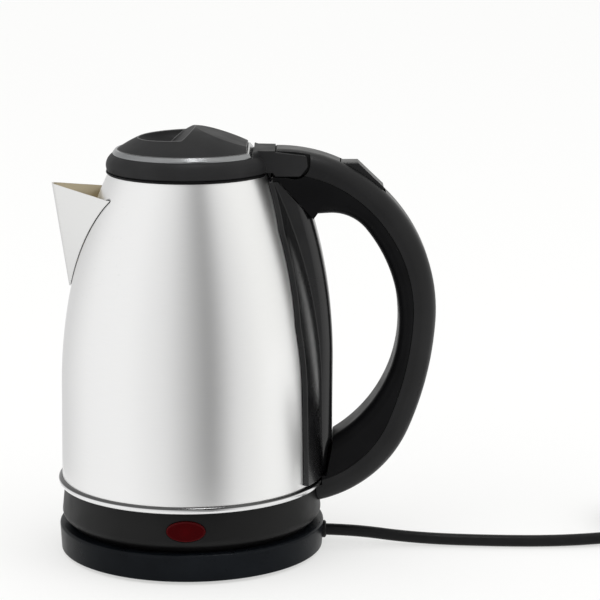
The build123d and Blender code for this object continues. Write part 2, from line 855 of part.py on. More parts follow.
# Lid collar: the black band on the steel mouth, its plug, and the two hinge arms
band_top_z = rim_z + band_height
band_top_radius = mouth_radius - band_lean
ledge_inner_radius = band_top_radius - ledge_width
plug_bottom_z = rim_z - plug_depth
arm_inner = knuckle_half_width + seam_gap
bridge_rear = pin_x - knuckle_half_width
pin_half_length = handle_half_width - hinge_pin_skin
with BuildPart() as lid_collar:
    with BuildSketch(Plane.XZ):
        with BuildLine():
            foot = (mouth_radius + collar_bulge - collar_tuck, rim_z + lid_lift)
            bulge = (mouth_radius + collar_bulge, rim_z + bulge_rise)
            Polyline((plug_radius, plug_bottom_z), (plug_radius, rim_z + lid_lift), foot, bulge)
            TangentArc(bulge, (band_top_radius, band_top_z), tangent=(0, 1))
            Polyline((band_top_radius, band_top_z), (ledge_inner_radius, band_top_z),
                     (ledge_inner_radius, band_top_z - band_wall),
                     (plug_radius - band_wall, band_top_z - band_wall),
                     (plug_radius - band_wall, plug_bottom_z), (plug_radius, plug_bottom_z))
        make_face()
    revolve(axis=Axis.Z)
    with BuildSketch(Plane.XY.offset(band_top_z - band_wall)):
        Circle(band_top_radius)
        with Locations((bridge_front - band_top_radius, 0)):
            Rectangle(2 * band_top_radius, 2 * band_top_radius, mode=Mode.SUBTRACT)
    extrude(amount=band_wall + lip_rise)
    fillet(circle_edges(lid_collar, band_top_radius, band_top_z + lip_rise), lip_round)
    extrude(side_outline([
        (bridge_front, band_top_z - band_wall), (bridge_front, band_top_z + lip_rise),
        (bridge_rear, rim_z + neck_rise - bridge_dip), (bridge_rear, rim_z + bridge_floor),
        (bridge_front + bridge_foot, rim_z + bridge_floor)]), amount=handle_half_width, both=True)
    add(hinge_cylinder(knuckle_radius + seam_gap, 2 * handle_half_width), mode=Mode.SUBTRACT)
    for side in (-1, 1):
        with BuildSketch(Plane.XZ.offset(side * (arm_inner + arm_thickness / 2))):
            with BuildLine():
                Polyline((bridge_front + arm_front, rim_z + neck_rise - arm_lean),
                         (pin_x + arm_reach - arm_lean, pin_z + arm_top),
                         (pin_x + arm_reach, pin_z - arm_drop + arm_heel_rise),
                         (pin_x + arm_heel, pin_z - arm_drop),
                         (mouth_radius + arm_chin_back, pin_z - arm_drop),
                         (mouth_radius + arm_chin_front, rim_z + lid_lift),
                         (bridge_front + arm_front, rim_z + lid_lift), close=True)
            make_face()
            fillet(vertices().sort_by(Axis.X)[-3:], arm_round)
        extrude(amount=arm_thickness / 2, both=True)
    add(hinge_cylinder(hinge_pin_radius + pin_running_gap, pin_half_length), mode=Mode.SUBTRACT)
save(lid_collar.part, "lid_collar")

# Bright trim loop on the collar, straight across the back
trim_outer_radius = band_top_radius - trim_inset
with BuildPart() as lid_trim:
    extrude(lid_outline(band_top_z, trim_outer_radius, lid_chord), amount=trim_height)
    chamfer(lid_trim.faces().sort_by(Axis.Z)[-1].edges(), trim_bevel_drop, trim_bevel_width)
    extrude(lid_outline(band_top_z, trim_outer_radius - trim_width, lid_chord - trim_width),
            amount=2 * trim_height, mode=Mode.SUBTRACT)
save(lid_trim.part, "lid_trim")

# Finger scoop: a round bowl whose back wall is a flat ramp up to the ridge
cap_radius = trim_outer_radius - trim_width - slip_gap
cap_edge_z = band_top_z + trim_height
cap_top_z = cap_edge_z + dome_height
scoop_floor_z = cap_top_z - scoop_depth
ramp_run = (scoop_depth + scoop_undercut) / math.tan(math.radians(scoop_ramp_angle))
with BuildPart() as finger_scoop:
    with BuildSketch(Plane.XZ):
        with BuildLine():
            bowl_side = scoop_centre + scoop_radius
            Polyline((scoop_centre, scoop_floor_z), (bowl_side - scoop_floor_round, scoop_floor_z))
            TangentArc((bowl_side - scoop_floor_round, scoop_floor_z),
                       (bowl_side, scoop_floor_z + scoop_floor_round), tangent=(1, 0))
            Polyline((bowl_side, scoop_floor_z + scoop_floor_round), (bowl_side, cap_top_z + cut_past),
                     (scoop_centre, cap_top_z + cut_past), (scoop_centre, scoop_floor_z))
        make_face()
    revolve(axis=Axis((scoop_centre, 0, 0), (0, 0, 1)))
    extrude(side_outline([
        (-mouth_radius, scoop_floor_z - scoop_undercut),
        (scoop_ridge - ramp_run, scoop_floor_z - scoop_undercut), (scoop_ridge, cap_top_z),
        (scoop_ridge + cut_past, cap_top_z + cut_past), (-mouth_radius, cap_top_z + cut_past)]),
        amount=mouth_radius, both=True, mode=Mode.INTERSECT)

# Domed lid cap with the scoop and a flat slope behind the ridge
with BuildPart() as lid_cap:
    with BuildSketch(Plane.XZ):
        with BuildLine():
            Polyline((0, cap_top_z), (0, band_top_z), (cap_radius, band_top_z), (cap_radius, cap_edge_z))
            ThreePointArc((cap_radius, cap_edge_z),
                          (cap_radius / 2, cap_edge_z + dome_height * dome_fullness), (0, cap_top_z))
        make_face()
    revolve(axis=Axis.Z)
    extrude(lid_outline(band_top_z, cap_radius, lid_chord - trim_width - slip_gap),
            amount=2 * dome_height, mode=Mode.INTERSECT)
    rear_fall = (cap_radius - scoop_ridge) * math.tan(math.radians(rear_slope_angle))
    extrude(side_outline([
        (scoop_ridge, cap_top_z), (cap_radius, cap_top_z - rear_fall), (cap_radius, cap_top_z + cut_past),
        (scoop_ridge, cap_top_z + cut_past)]), amount=mouth_radius, both=True, mode=Mode.SUBTRACT)
    add(finger_scoop.part, mode=Mode.SUBTRACT)
save(lid_cap.part, "lid_cap")

with BuildPart() as lid_inner_plate:
    with BuildSketch(Plane.XY.offset(plug_bottom_z - inner_plate)):
        Circle(plug_radius)
    extrude(amount=inner_plate)
    chamfer(lid_inner_plate.edges().group_by(Axis.Z)[0], inner_plate / 2)
save(lid_inner_plate.part, "lid_inner_plate")

with BuildPart() as lid_seal:
    seal_low_z = rim_z - seal_drop - seal_height / 2
    revolve(side_outline([
        (plug_radius + seal_gap, seal_low_z), (plug_radius + seal_standout, seal_low_z + seal_height / 3),
        (plug_radius + seal_standout, seal_low_z + seal_height * 2 / 3),
        (plug_radius + seal_gap, seal_low_z + seal_height)]), axis=Axis.Z)
save(lid_seal.part, "lid_seal")

with BuildPart() as hinge_pin:
    add(hinge_cylinder(hinge_pin_radius, pin_half_length - slip_gap))
save(hinge_pin.part, "hinge_pin")

# Spine: the column on the back of the body, a wide flange with a rounded rib
spine_foot_z = bead_z + spine_foot_rise
spine_bend_z = bead_z + spine_bend_rise
spine_foot = (body_radius + bead_radius + spine_foot_margin, spine_foot_z)
spine_bend = (body_radius + spine_depth, spine_bend_z)
spine_waist = (body_radius + spine_depth + spine_waist_bulge, bead_z + spine_waist_rise)
spine_corner = (wall_radius(rim_z - spine_top_drop) + spine_top_depth, rim_z - spine_top_drop)
spine_tip = (mouth_radius + spine_tip_back, rim_z - spine_tip_drop)
spine_core_x = mouth_radius - spine_core_inset


def spine_side(inset, tip):
    """Side outline of the rib, its back moved inwards by the inset."""
    with BuildSketch(Plane.XZ) as outline:
        with BuildLine():
            Polyline((spine_core_x, tip[1]), (spine_core_x, spine_foot_z),
                     (spine_foot[0] - inset, spine_foot_z), (spine_bend[0] - inset, spine_bend_z))
            back = Line((spine_bend[0] - inset, spine_bend_z), (spine_waist[0] - inset, spine_waist[1]))
            TangentArc((spine_waist[0] - inset, spine_waist[1]),
                       (spine_corner[0] - inset, spine_corner[1]), tangent=back % 1)
            Polyline((spine_corner[0] - inset, spine_corner[1]), (tip[0] - inset, tip[1]),
                     (spine_core_x, tip[1]))
        make_face()
    return outline.sketch


# Ways for the switch strips: down through the neck, and through the foot into the housing
switch_x = body_radius + switch_back
strip_turn_x = mouth_radius + strip_turn_back
strip_upper_x = wall_radius(rim_z - strip_upper_drop) + strip_upper_gap
strip_lean = (strip_upper_x - strip_turn_x) / (strip_upper_drop - strip_drop)
wire_way_x = strip_turn_x + strip_lean * (wire_way_depth - strip_drop)
wire_way = side_outline([
    (strip_turn_x - wire_way_front_room, rim_z - wire_way_floor_drop),
    (strip_turn_x - strip_heel_gap, rim_z - wire_way_roof_drop), (switch_x, rim_z - wire_way_roof_drop),
    (switch_x, rim_z - wire_way_floor_drop), (strip_turn_x + strip_heel_gap, rim_z - wire_way_floor_drop),
    (wire_way_x + wire_way_back_room, rim_z - wire_way_depth),
    (wire_way_x - wire_way_front_room, rim_z - wire_way_depth)])
foot_way = side_outline([
    (body_radius + foot_way_throat, spine_bend_z + foot_way_top),
    (body_radius + foot_way_front, spine_bend_z + foot_way_top),
    (body_radius + foot_way_front, wire_way_z + wire_way_radius),
    (body_radius - foot_way_reach, wire_way_z + wire_way_radius),
    (body_radius - foot_way_reach, wire_way_z - wire_way_radius),
    (body_radius + foot_way_reach, wire_way_z - wire_way_radius),
    (body_radius + foot_way_back, bead_z - foot_way_heel),
    (body_radius + foot_way_back, spine_bend_z - foot_way_shoulder)])
with BuildPart() as spine_rib:
    extrude(spine_side(0, spine_tip), amount=spine_half_width, both=True)
    fillet(spine_rib.faces().sort_by(Axis.X)[-3:].edges().filter_by(
        lambda edge: abs(edge.center().Y) > spine_half_width - 0.01), spine_round)
with BuildPart() as handle_spine:
    revolve(wall_band(seam_gap + flange_thickness, seam_gap, spine_foot_z), axis=Axis.Z)
    with BuildSketch(Plane.YZ):
        with BuildLine():
            Polyline((-flange_half_width, spine_foot_z), (flange_half_width, spine_foot_z),
                     (flange_half_width, shoulder_z + flange_taper_rise),
                     (flange_shoulder_half_width, rim_z - flange_shoulder_drop),
                     (flange_top_half_width, spine_tip[1]), (-flange_top_half_width, spine_tip[1]),
                     (-flange_shoulder_half_width, rim_z - flange_shoulder_drop),
                     (-flange_half_width, shoulder_z + flange_taper_rise), close=True)
        make_face()
    extrude(amount=2 * body_radius, mode=Mode.INTERSECT)
    extrude(side_outline([
        spine_corner, spine_tip, (spine_tip[0], spine_tip[1] + cut_past),
        (spine_corner[0] + cut_past, spine_tip[1] + cut_past),
        (spine_corner[0] + cut_past, spine_corner[1])]),
        amount=2 * flange_half_width, both=True, mode=Mode.SUBTRACT)
    add(spine_rib.part)
    add(kettle_envelope(seam_gap), mode=Mode.SUBTRACT)
    extrude(spine_side(spine_channel_wall, (spine_tip[0], rim_z - spine_channel_drop)),
            amount=spine_channel_half_width, both=True, mode=Mode.SUBTRACT)
    extrude(wire_way, amount=wire_way_half_width, both=True, mode=Mode.SUBTRACT)
    extrude(foot_way, amount=wire_way_half_width, both=True, mode=Mode.SUBTRACT)
save(handle_spine.part, "handle_spine")


def arc_middles(points, first_heading):
    """Middle point of each arc of a tangent chain."""
    middles = []
    for start, end, heading in zip(points, points[1:], arc_headings(points, first_heading)):
        chord_heading = heading_between(start, end)
        half_turn = math.radians(chord_heading - heading)
        bulge = math.dist(start, end) / 2 * math.tan(half_turn / 2)
        across = math.radians(chord_heading - 90)
        middles.append(((start[0] + end[0]) / 2 + bulge * math.cos(across),
                        (start[1] + end[1]) / 2 + bulge * math.sin(across)))
    return middles


def chain_edges(part, points, first_heading):
    """Edges of an extruded part that run along a tangent chain."""
    middles = arc_middles(points, first_heading)
    return part.edges().filter_by(
        lambda edge: min(math.dist(((edge @ 0.5).X, (edge @ 0.5).Z), middle) for middle in middles) < 0.5)


# Loop handle: an outer and an inner moulding that part along a line on the sides
handle_back = [
    (mouth_radius + neck_start_back, rim_z + neck_rise),
    (body_radius + neck_bend_back, rim_z - neck_bend_drop), (grip_x, bead_z + grip_height),
    (grip_x - heel_inset, bead_z + heel_height), (body_radius, bead_z - foot_drop)]
finger_side = [
    (spine_bend[0] + finger_foot_back, spine_bend_z + finger_foot_rise),
    (grip_x - grip_thickness, bead_z + finger_waist_height),
    (body_radius + neck_bend_back, rim_z - finger_top_drop),
    (body_radius + finger_tip_back, rim_z - finger_tip_drop)]
foot_inner_x = body_radius - foot_tuck
with BuildPart() as handle_whole:
    with BuildSketch(Plane.XZ):
        with BuildLine():
            tangent_chain(handle_back, neck_heading)
            Polyline(handle_back[-1], (foot_inner_x, bead_z - foot_drop),
                     (foot_inner_x, spine_foot_z - seam_gap),
                     (spine_foot[0] + seam_gap, spine_foot_z - seam_gap), finger_side[0])
            tangent_chain(finger_side, finger_heading)
            Polyline(finger_side[-1], (spine_corner[0] + finger_lip_back, rim_z - finger_lip_drop),
                     (spine_corner[0] + seam_gap, spine_corner[1] + seam_gap),
                     (spine_tip[0] + seam_gap, spine_tip[1] + seam_gap),
                     (mouth_radius + neck_chin_back, spine_tip[1] + seam_gap), handle_back[0])
        make_face()
    extrude(amount=handle_half_width, both=True)
    fillet(chain_edges(handle_whole, handle_back, neck_heading), handle_round)
    fillet(chain_edges(handle_whole, finger_side, finger_heading), handle_inner_round)
    add(kettle_envelope(seam_gap), mode=Mode.SUBTRACT)

# Hinge end of the neck: a round knuckle between two open pockets for the lid's arms
rocker_x = body_radius + rocker_back
rocker_z = rim_z - rocker_drop
switch_floor_z = rim_z - switch_drop
with BuildPart() as neck_front:
    extrude(side_outline([
        (mouth_radius - cut_past, rim_z - neck_floor_drop), (pin_x, rim_z - neck_floor_drop),
        (pin_x, rim_z + cut_past), (mouth_radius - cut_past, rim_z + cut_past)]),
        amount=2 * handle_half_width, both=True)
    add(hinge_cylinder(knuckle_radius, 3 * handle_half_width), mode=Mode.SUBTRACT)
arm_swing = arm_reach + 2 * arm_pocket_gap
arm_pocket_z = pin_z - arm_drop - arm_pocket_gap
with BuildPart() as arm_pockets:
    extrude(side_outline([
        (mouth_radius - cut_past, arm_pocket_z), (pin_x, arm_pocket_z), (pin_x, pin_z),
        (pin_x + arm_swing, pin_z), (pin_x + arm_swing, pin_z + cut_past),
        (mouth_radius - cut_past, pin_z + cut_past)]), amount=2 * handle_half_width, both=True)
    add(hinge_cylinder(arm_swing, 2 * handle_half_width))
    with Locations((pin_x, 0, pin_z)):
        Box(8 * handle_half_width, 2 * knuckle_half_width, 8 * handle_half_width, mode=Mode.SUBTRACT)


def rocker_outline(points):
    """Outline of straight lines around the switch pivot."""
    return side_outline([(rocker_x + x, rocker_z + z) for x, z in points])


# Room in the handle for the rocker, its switch and the wires
switch_room = side_outline([
    (switch_x - switch_end_room, rim_z - wire_way_roof_drop), (switch_x - switch_end_room, switch_floor_z),
    (switch_x + switch_length + switch_end_room, switch_floor_z),
    (switch_x + switch_length + switch_roof_reach, rim_z - switch_roof_drop),
    (rocker_x, rocker_z - switch_apex_drop)])
plunger_x = switch_x + plunger_inset
with BuildPart() as handle_rooms:
    extrude(rocker_outline([
        (-rocker_reach - rocker_front_gap, cut_past),
        (-rocker_reach - rocker_front_gap, rocker_belly_rise - rocker_belly_gap),
        (-rocker_keel_front, -rocker_keel_drop - rocker_swing_room),
        (rocker_reach, -rocker_fall - rocker_edge - rocker_tail_room),
        (rocker_reach + rocker_rear_gap, -rocker_fall - rocker_belly_gap),
        (rocker_reach + rocker_rear_gap, cut_past)]), amount=rocker_half_width + seam_gap, both=True)
    extrude(switch_room, amount=switch_half_width + seam_gap, both=True)
    extrude(wire_way, amount=wire_way_half_width, both=True)
    extrude(foot_way, amount=wire_way_half_width, both=True)
    with BuildSketch(Plane.XY.offset(switch_floor_z)):
        with Locations((plunger_x, 0)):
            Circle(plunger_radius + slip_gap)
    extrude(amount=switch_drop)
    with BuildSketch(Plane.XZ):
        with Locations((rocker_x, rocker_z)):
            Circle(rocker_pin_radius + pin_fixed_gap)
    extrude(amount=rocker_pin_length / 2 + slip_gap, both=True)


def outside_of_parting(gap):
    """Everything on the outer side of the handle's parting line, moved by the gap."""
    line = shifted(handle_back, neck_heading, handle_shell + gap)
    with BuildPart() as region:
        with BuildSketch(Plane.XZ):
            with BuildLine():
                tangent_chain(line, neck_heading)
                Polyline(line[-1], (line[-1][0] - cut_past, line[-1][1]), (line[-1][0] - cut_past, 0),
                         (2 * grip_x, 0), (2 * grip_x, 2 * rim_z), (line[0][0] - cut_past, 2 * rim_z),
                         (line[0][0] - cut_past, line[0][1]), line[0])
            make_face()
        extrude(amount=2 * handle_half_width, both=True)
    return region.part


with BuildPart() as handle_outer:
    add(handle_whole.part)
    add(neck_front.part, mode=Mode.SUBTRACT)
    add(arm_pockets.part, mode=Mode.SUBTRACT)
    add(handle_rooms.part, mode=Mode.SUBTRACT)
    add(hinge_cylinder(hinge_pin_radius + pin_fixed_gap, 2 * handle_half_width), mode=Mode.SUBTRACT)
    add(outside_of_parting(0), mode=Mode.INTERSECT)
save(handle_outer.part, "handle_outer")

with BuildPart() as handle_inner:
    add(handle_whole.part)
    add(neck_front.part, mode=Mode.SUBTRACT)
    add(arm_pockets.part, mode=Mode.SUBTRACT)
    add(handle_rooms.part, mode=Mode.SUBTRACT)
    add(outside_of_parting(parting_gap), mode=Mode.SUBTRACT)
save(handle_inner.part, "handle_inner")

# Thumb rocker in the top of the handle, its pivot pin and the steam switch below
with BuildPart() as switch_rocker:
    extrude(rocker_outline([
        (-rocker_reach, rocker_rise - rocker_edge), (-rocker_reach, rocker_rise),
        (-rocker_flat_end, rocker_rise), (rocker_reach, -rocker_fall),
        (rocker_reach - rocker_keel_front, -rocker_fall - rocker_edge),
        (-rocker_keel_front, -rocker_keel_drop),
        (-rocker_belly_front, rocker_belly_rise)]), amount=rocker_half_width, both=True)
    fillet(switch_rocker.faces().sort_by(Axis.Z)[-2:].edges().filter_by(
        lambda edge: abs(edge.center().Y) > rocker_half_width - 0.01), rocker_edge_round)
    with BuildSketch(Plane.XZ):
        with Locations((rocker_x, rocker_z)):
            Circle(rocker_pin_radius + pin_running_gap)
    extrude(amount=2 * rocker_half_width, both=True, mode=Mode.SUBTRACT)
save(switch_rocker.part, "switch_rocker")

with BuildPart() as rocker_pin:
    with BuildSketch(Plane.XZ):
        with Locations((rocker_x, rocker_z)):
            Circle(rocker_pin_radius)
    extrude(amount=rocker_pin_length / 2, both=True)
save(rocker_pin.part, "rocker_pin")

plunger_tip_z = rocker_z - plunger_tip_drop
switch_seat_z = switch_floor_z + slip_gap
with BuildPart() as steam_switch:
    with BuildSketch(Plane.XY.offset(switch_seat_z)):
        with Locations((switch_x + switch_length / 2, 0)):
            Rectangle(switch_length, 2 * switch_half_width)
    extrude(amount=switch_height)
    with BuildSketch(Plane.XY.offset(switch_seat_z + switch_height)):
        with Locations((plunger_x, 0)):
            Circle(plunger_radius)
    extrude(amount=plunger_tip_z - switch_seat_z - switch_height)
save(steam_switch.part, "steam_switch")

steam_disc_z = switch_seat_z + switch_height / 2
with BuildPart() as steam_disc_part:
    with BuildSketch(Plane.YZ.offset(switch_x - steam_disc)):
        with Locations((0, steam_disc_z)):
            Circle(steam_disc_radius)
    extrude(amount=steam_disc)
save(steam_disc_part.part, "steam_disc")

# Two flat strips from the steam switch, through neck and spine, into the floor housing
strip_middle_z = bead_z + strip_middle_rise
strip_route = [
    (switch_x, rim_z - strip_drop), (strip_turn_x, rim_z - strip_drop),
    (strip_upper_x, rim_z - strip_upper_drop),
    (wall_radius(strip_middle_z) + strip_middle_gap, strip_middle_z),
    (body_radius + strip_side_gap, bead_z + strip_side_rise),
    (body_radius + strip_foot_gap, bead_z + strip_foot_rise),
    (body_radius + strip_heel_gap, bead_z + strip_heel_rise), (body_radius + strip_heel_gap, wire_way_z),
    (skirt_radius - strip_end_inset, wire_way_z)]
with BuildPart() as switch_strips:
    for side in (-strip_spread, strip_spread):
        with BuildLine() as strip_line:
            FilletPolyline(*[(x, side, z) for x, z in strip_route], radius=strip_bend_radius)
        with BuildSketch(Plane(strip_line.line @ 0, x_dir=(0, 0, 1), z_dir=strip_line.line % 0)):
            Rectangle(strip_thickness, strip_width)
        sweep(path=strip_line.wires()[0])
save(switch_strips.part, "switch_strips")

# Strain relief bush in the base wall and the clamp that holds the cord inside
flange_x = base_inner_radius - bush_flange_inset
with BuildPart() as cord_bush:
    with BuildSketch(Plane.YZ.offset(flange_x + bush_flange)):
        with Locations((0, cord_height)):
            Circle(cord_radius + bush_wall)
    extrude(amount=base_radius + bush_standout - flange_x - bush_flange)
    chamfer(cord_bush.edges().group_by(Axis.X)[-1], bush_edge)
    with BuildSketch(Plane.YZ.offset(flange_x)):
        with Locations((0, cord_height)):
            Rectangle(2 * (cord_radius + bush_wall + bush_flange),
                      2 * (cord_height - base_floor_z - base_plate))
    extrude(amount=bush_flange)
    with BuildSketch(Plane.YZ.offset(flange_x)):
        with Locations((0, cord_height)):
            Circle(cord_radius + slip_gap)
    extrude(amount=base_radius, mode=Mode.SUBTRACT)
save(cord_bush.part, "cord_bush")

with BuildPart() as cord_clamp:
    with BuildSketch(Plane.YZ.offset(cord_inner_end + clamp_inset)):
        with Locations((0, cord_height)):
            Rectangle(3 * cord_diameter, 2 * (cord_height - base_floor_z - base_plate))
            Circle(cord_radius + slip_gap, mode=Mode.SUBTRACT)
    extrude(amount=clamp_length)
save(cord_clamp.part, "cord_clamp")

# Cord from the clamp along the floor to the coil: straight runs with one arc per corner
coil_low_z = coil_clear_of_floor + cord_radius
coil_start_x = coil_centre_x - cord_diameter
lead_route = [
    Vector(cord_inner_end, 0, cord_height), Vector(base_radius + 13.5, 0, cord_height),
    Vector(base_radius + 51.5, -1.5, 4.2), Vector(base_radius + 93.5, -5, cord_floor_z),
    Vector(base_radius + 137.5, -6, cord_floor_z), Vector(coil_start_x - 26, 0, coil_low_z),
    Vector(coil_start_x, 0, coil_low_z)]


def corner_radius(before, corner, after):
    """Arc that takes up most of the shorter of the two runs at a corner."""
    arriving = corner - before
    leaving = after - corner
    half_turn = math.radians(arriving.get_angle(leaving)) / 2
    return 0.45 * min(arriving.length, leaving.length) / math.tan(half_turn)


lead_radii = [corner_radius(*corner) for corner in zip(lead_route, lead_route[1:], lead_route[2:])]
with BuildPart() as cord_lead:
    with BuildLine() as lead_line:
        FilletPolyline(*lead_route, radius=lead_radii)
    with BuildSketch(Plane(lead_line.line @ 0, z_dir=lead_line.line % 0)):
        RegularPolygon(cord_radius, cord_sides)
    sweep(path=lead_line.wires()[0])
save(cord_lead.part, "cord_lead")

# Wound coil: in, up one layer and out again, drawn as pairs of tangent arcs
coil_turns = 2 * coil_spiral_turns + coil_climb_turns


def coil_point(turn):
    """Point on the coil's centre line after so many turns."""
    inward = min(turn, coil_turns - turn, coil_spiral_turns) / coil_spiral_turns
    radius = coil_outer_radius + (coil_inner_radius - coil_outer_radius) * inward
    climb = min(max((turn - coil_spiral_turns) / coil_climb_turns, 0), 1)
    rise = coil_layer_step * (1 - math.cos(math.pi * climb)) / 2
    angle = math.radians(360 * turn - 90)
    return Vector(coil_centre_x + radius * math.cos(angle),
                  coil_outer_radius + radius * math.sin(angle), coil_low_z + rise)


def coil_heading(turn):
    """Direction of the coil's centre line after so many turns."""
    return (coil_point(turn + 0.001) - coil_point(turn - 0.001)).normalized()


def tangent_pair(start, start_way, end, end_way):
    """Two tangent arcs that join two points and meet both directions."""
    across = end - start
    ways = start_way + end_way
    bend = 2 * (start_way.dot(end_way) - 1)
    reach = across.dot(across) / (2 * across.dot(ways))
    if abs(bend) > 1e-9:
        reach = (across.dot(ways) - math.sqrt(across.dot(ways) ** 2 - bend * across.dot(across))) / bend
    near = start + start_way * reach
    far = end - end_way * reach
    middle = (near + far) / 2
    TangentArc(start, middle, tangent=start_way)
    TangentArc(middle, end, tangent=(far - near).normalized())


forward = Vector(1, 0, 0)
coil_steps = [0.25 * step for step in range(round(4 * coil_turns) + 1)]
coil_ways = [forward] + [coil_heading(turn) for turn in coil_steps[1:-1]] + [forward]
tail_start = coil_point(coil_turns)
tail_end = Vector(coil_centre_x + plug_tail, 0, plug_axis_height)
boot_x = tail_end.X + cord_diameter
with BuildPart() as cord_coil:
    with BuildLine() as coil_line:
        Line((coil_start_x, 0, coil_low_z), coil_point(0))
        for turn, after, way, way_after in zip(coil_steps, coil_steps[1:], coil_ways, coil_ways[1:]):
            tangent_pair(coil_point(turn), way, coil_point(after), way_after)
        tangent_pair(tail_start, forward, tail_end, forward)
        Line(tail_end, (boot_x, 0, plug_axis_height))
    with BuildSketch(Plane(coil_line.line @ 0, z_dir=coil_line.line % 0)):
        RegularPolygon(cord_radius, cord_sides)
    sweep(path=coil_line.wires()[0])
save(cord_coil.part, "cord_coil")

# Loop of band that ties the two stacked passes on the coil's far side
tie_point = coil_point(0.5)
tie_middle_z = coil_low_z + coil_layer_step / 2
tie_half_width = cord_radius + tie_slack
with BuildPart() as cord_tie:
    with BuildSketch(Plane.YZ.offset(coil_centre_x - tie_width / 2)):
        with Locations((tie_point.Y, tie_middle_z)):
            outer_half = tie_half_width + tie_thickness
            RectangleRounded(2 * outer_half, 2 * outer_half + coil_layer_step, outer_half - 0.01)
            RectangleRounded(2 * tie_half_width, 2 * tie_half_width + coil_layer_step,
                             tie_half_width - 0.01, mode=Mode.SUBTRACT)
    extrude(amount=tie_width)
save(cord_tie.part, "cord_tie")

# Moulded two-pin earthed plug with its boot, lying on the floor
plug_back_x = boot_x + plug_boot_length
plug_front_x = plug_back_x + plug_length
with BuildPart() as plug_body:
    with BuildSketch(Plane.XZ):
        with BuildLine():
            Polyline((boot_x, plug_axis_height), (boot_x, plug_axis_height + cord_radius + plug_boot_wall),
                     (plug_back_x, plug_axis_height + plug_boot_radius),
                     (plug_back_x + plug_neck_length, plug_axis_height + plug_neck_radius),
                     (plug_front_x - plug_head_back, plug_axis_height + plug_waist_radius),
                     (plug_front_x - plug_head_front, plug_axis_height + plug_radius_outer),
                     (plug_front_x, plug_axis_height + plug_radius_outer),
                     (plug_front_x, plug_axis_height), close=True)
        make_face()
    revolve(axis=Axis((0, 0, plug_axis_height), (1, 0, 0)))
    with Locations((plug_front_x, 0, plug_axis_height)):
        Box(4 * plug_length, 2 * plug_flat, 2 * plug_radius_outer, mode=Mode.INTERSECT)
save(plug_body.part, "plug_body")

with BuildPart() as plug_pins:
    with BuildSketch(Plane.YZ.offset(plug_front_x)):
        with Locations((-plug_pin_spacing / 2, plug_axis_height), (plug_pin_spacing / 2, plug_axis_height)):
            Circle(plug_pin_radius)
    extrude(amount=plug_pin_length)
    chamfer(plug_pins.edges().group_by(Axis.X)[-1], plug_pin_edge)
save(plug_pins.part, "plug_pins")

# Figures for the log
cord_section = cord_sides * cord_radius ** 2 * math.sin(math.tau / cord_sides) / 2
print("lead corner radii", [round(radius, 1) for radius in lead_radii])
lead_length = lead_line.wires()[0].length
coil_length = coil_line.wires()[0].length
print("lead length", round(lead_length, 1),
      "volume ratio", round(cord_lead.part.volume / (cord_section * lead_length), 4))
print("coil length", round(coil_length, 1),
      "volume ratio", round(cord_coil.part.volume / (cord_section * coil_length), 4))
coil_samples = [coil_point(coil_turns * step / 240) for step in range(241)]
coil_apart = min((first - second).length for index, first in enumerate(coil_samples)
                 for second in coil_samples[index + 60:])
print("least gap between coil passes", round(coil_apart - cord_diameter, 3))
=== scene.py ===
import math

import bpy
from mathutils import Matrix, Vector


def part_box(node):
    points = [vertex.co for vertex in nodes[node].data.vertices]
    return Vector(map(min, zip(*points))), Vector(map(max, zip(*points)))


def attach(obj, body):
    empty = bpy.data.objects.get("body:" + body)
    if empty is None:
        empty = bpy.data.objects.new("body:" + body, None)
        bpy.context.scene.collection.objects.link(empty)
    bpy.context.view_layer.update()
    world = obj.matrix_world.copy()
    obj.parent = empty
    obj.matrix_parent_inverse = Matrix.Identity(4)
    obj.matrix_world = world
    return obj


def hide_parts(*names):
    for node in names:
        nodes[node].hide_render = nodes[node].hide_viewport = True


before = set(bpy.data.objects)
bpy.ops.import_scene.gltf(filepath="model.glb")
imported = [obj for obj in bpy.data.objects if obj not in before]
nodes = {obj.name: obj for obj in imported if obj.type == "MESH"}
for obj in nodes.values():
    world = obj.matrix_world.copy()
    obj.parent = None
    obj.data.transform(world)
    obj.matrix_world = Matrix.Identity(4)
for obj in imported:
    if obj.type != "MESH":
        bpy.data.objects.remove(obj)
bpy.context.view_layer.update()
scene = bpy.context.scene
scene.view_settings.view_transform = "Standard"

# Sizes taken from the frame, in metres
base_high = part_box("base_top_cover")[1]
body_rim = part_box("body_shell")[1].z
pillar_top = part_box("connector_pillar")[1].z
spout_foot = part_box("spout")[0].z
seam_low, seam_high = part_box("seam_ring")
lens_low, lens_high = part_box("indicator_lens")
screw_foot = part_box("base_screws")[0].z
boot_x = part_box("plug_body")[0].x

# Camera at the photograph's viewing angle
image_size = 600
pixels_per_metre = 1750
base_pixel_x = 190
base_pixel_y = 508
camera_distance = 1.30
camera_height = 0.415
camera_reach = 50


def make_camera():
    """Camera that puts the base where the photograph has it."""
    data = bpy.data.cameras.new("camera")
    camera = bpy.data.objects.new("camera", data)
    scene.collection.objects.link(camera)
    target_x = (image_size / 2 - base_pixel_x) / pixels_per_metre
    target_z = base_high.z + (base_pixel_y - image_size / 2) / pixels_per_metre
    camera.location = (target_x, -camera_distance, camera_height)
    aim = Vector((target_x, 0, target_z)) - camera.location
    camera.rotation_euler = aim.to_track_quat("-Z", "Y").to_euler()
    data.sensor_width = 36
    data.lens = data.sensor_width * aim.length * pixels_per_metre / image_size
    data.clip_end = camera_reach
    scene.camera = camera


make_camera()

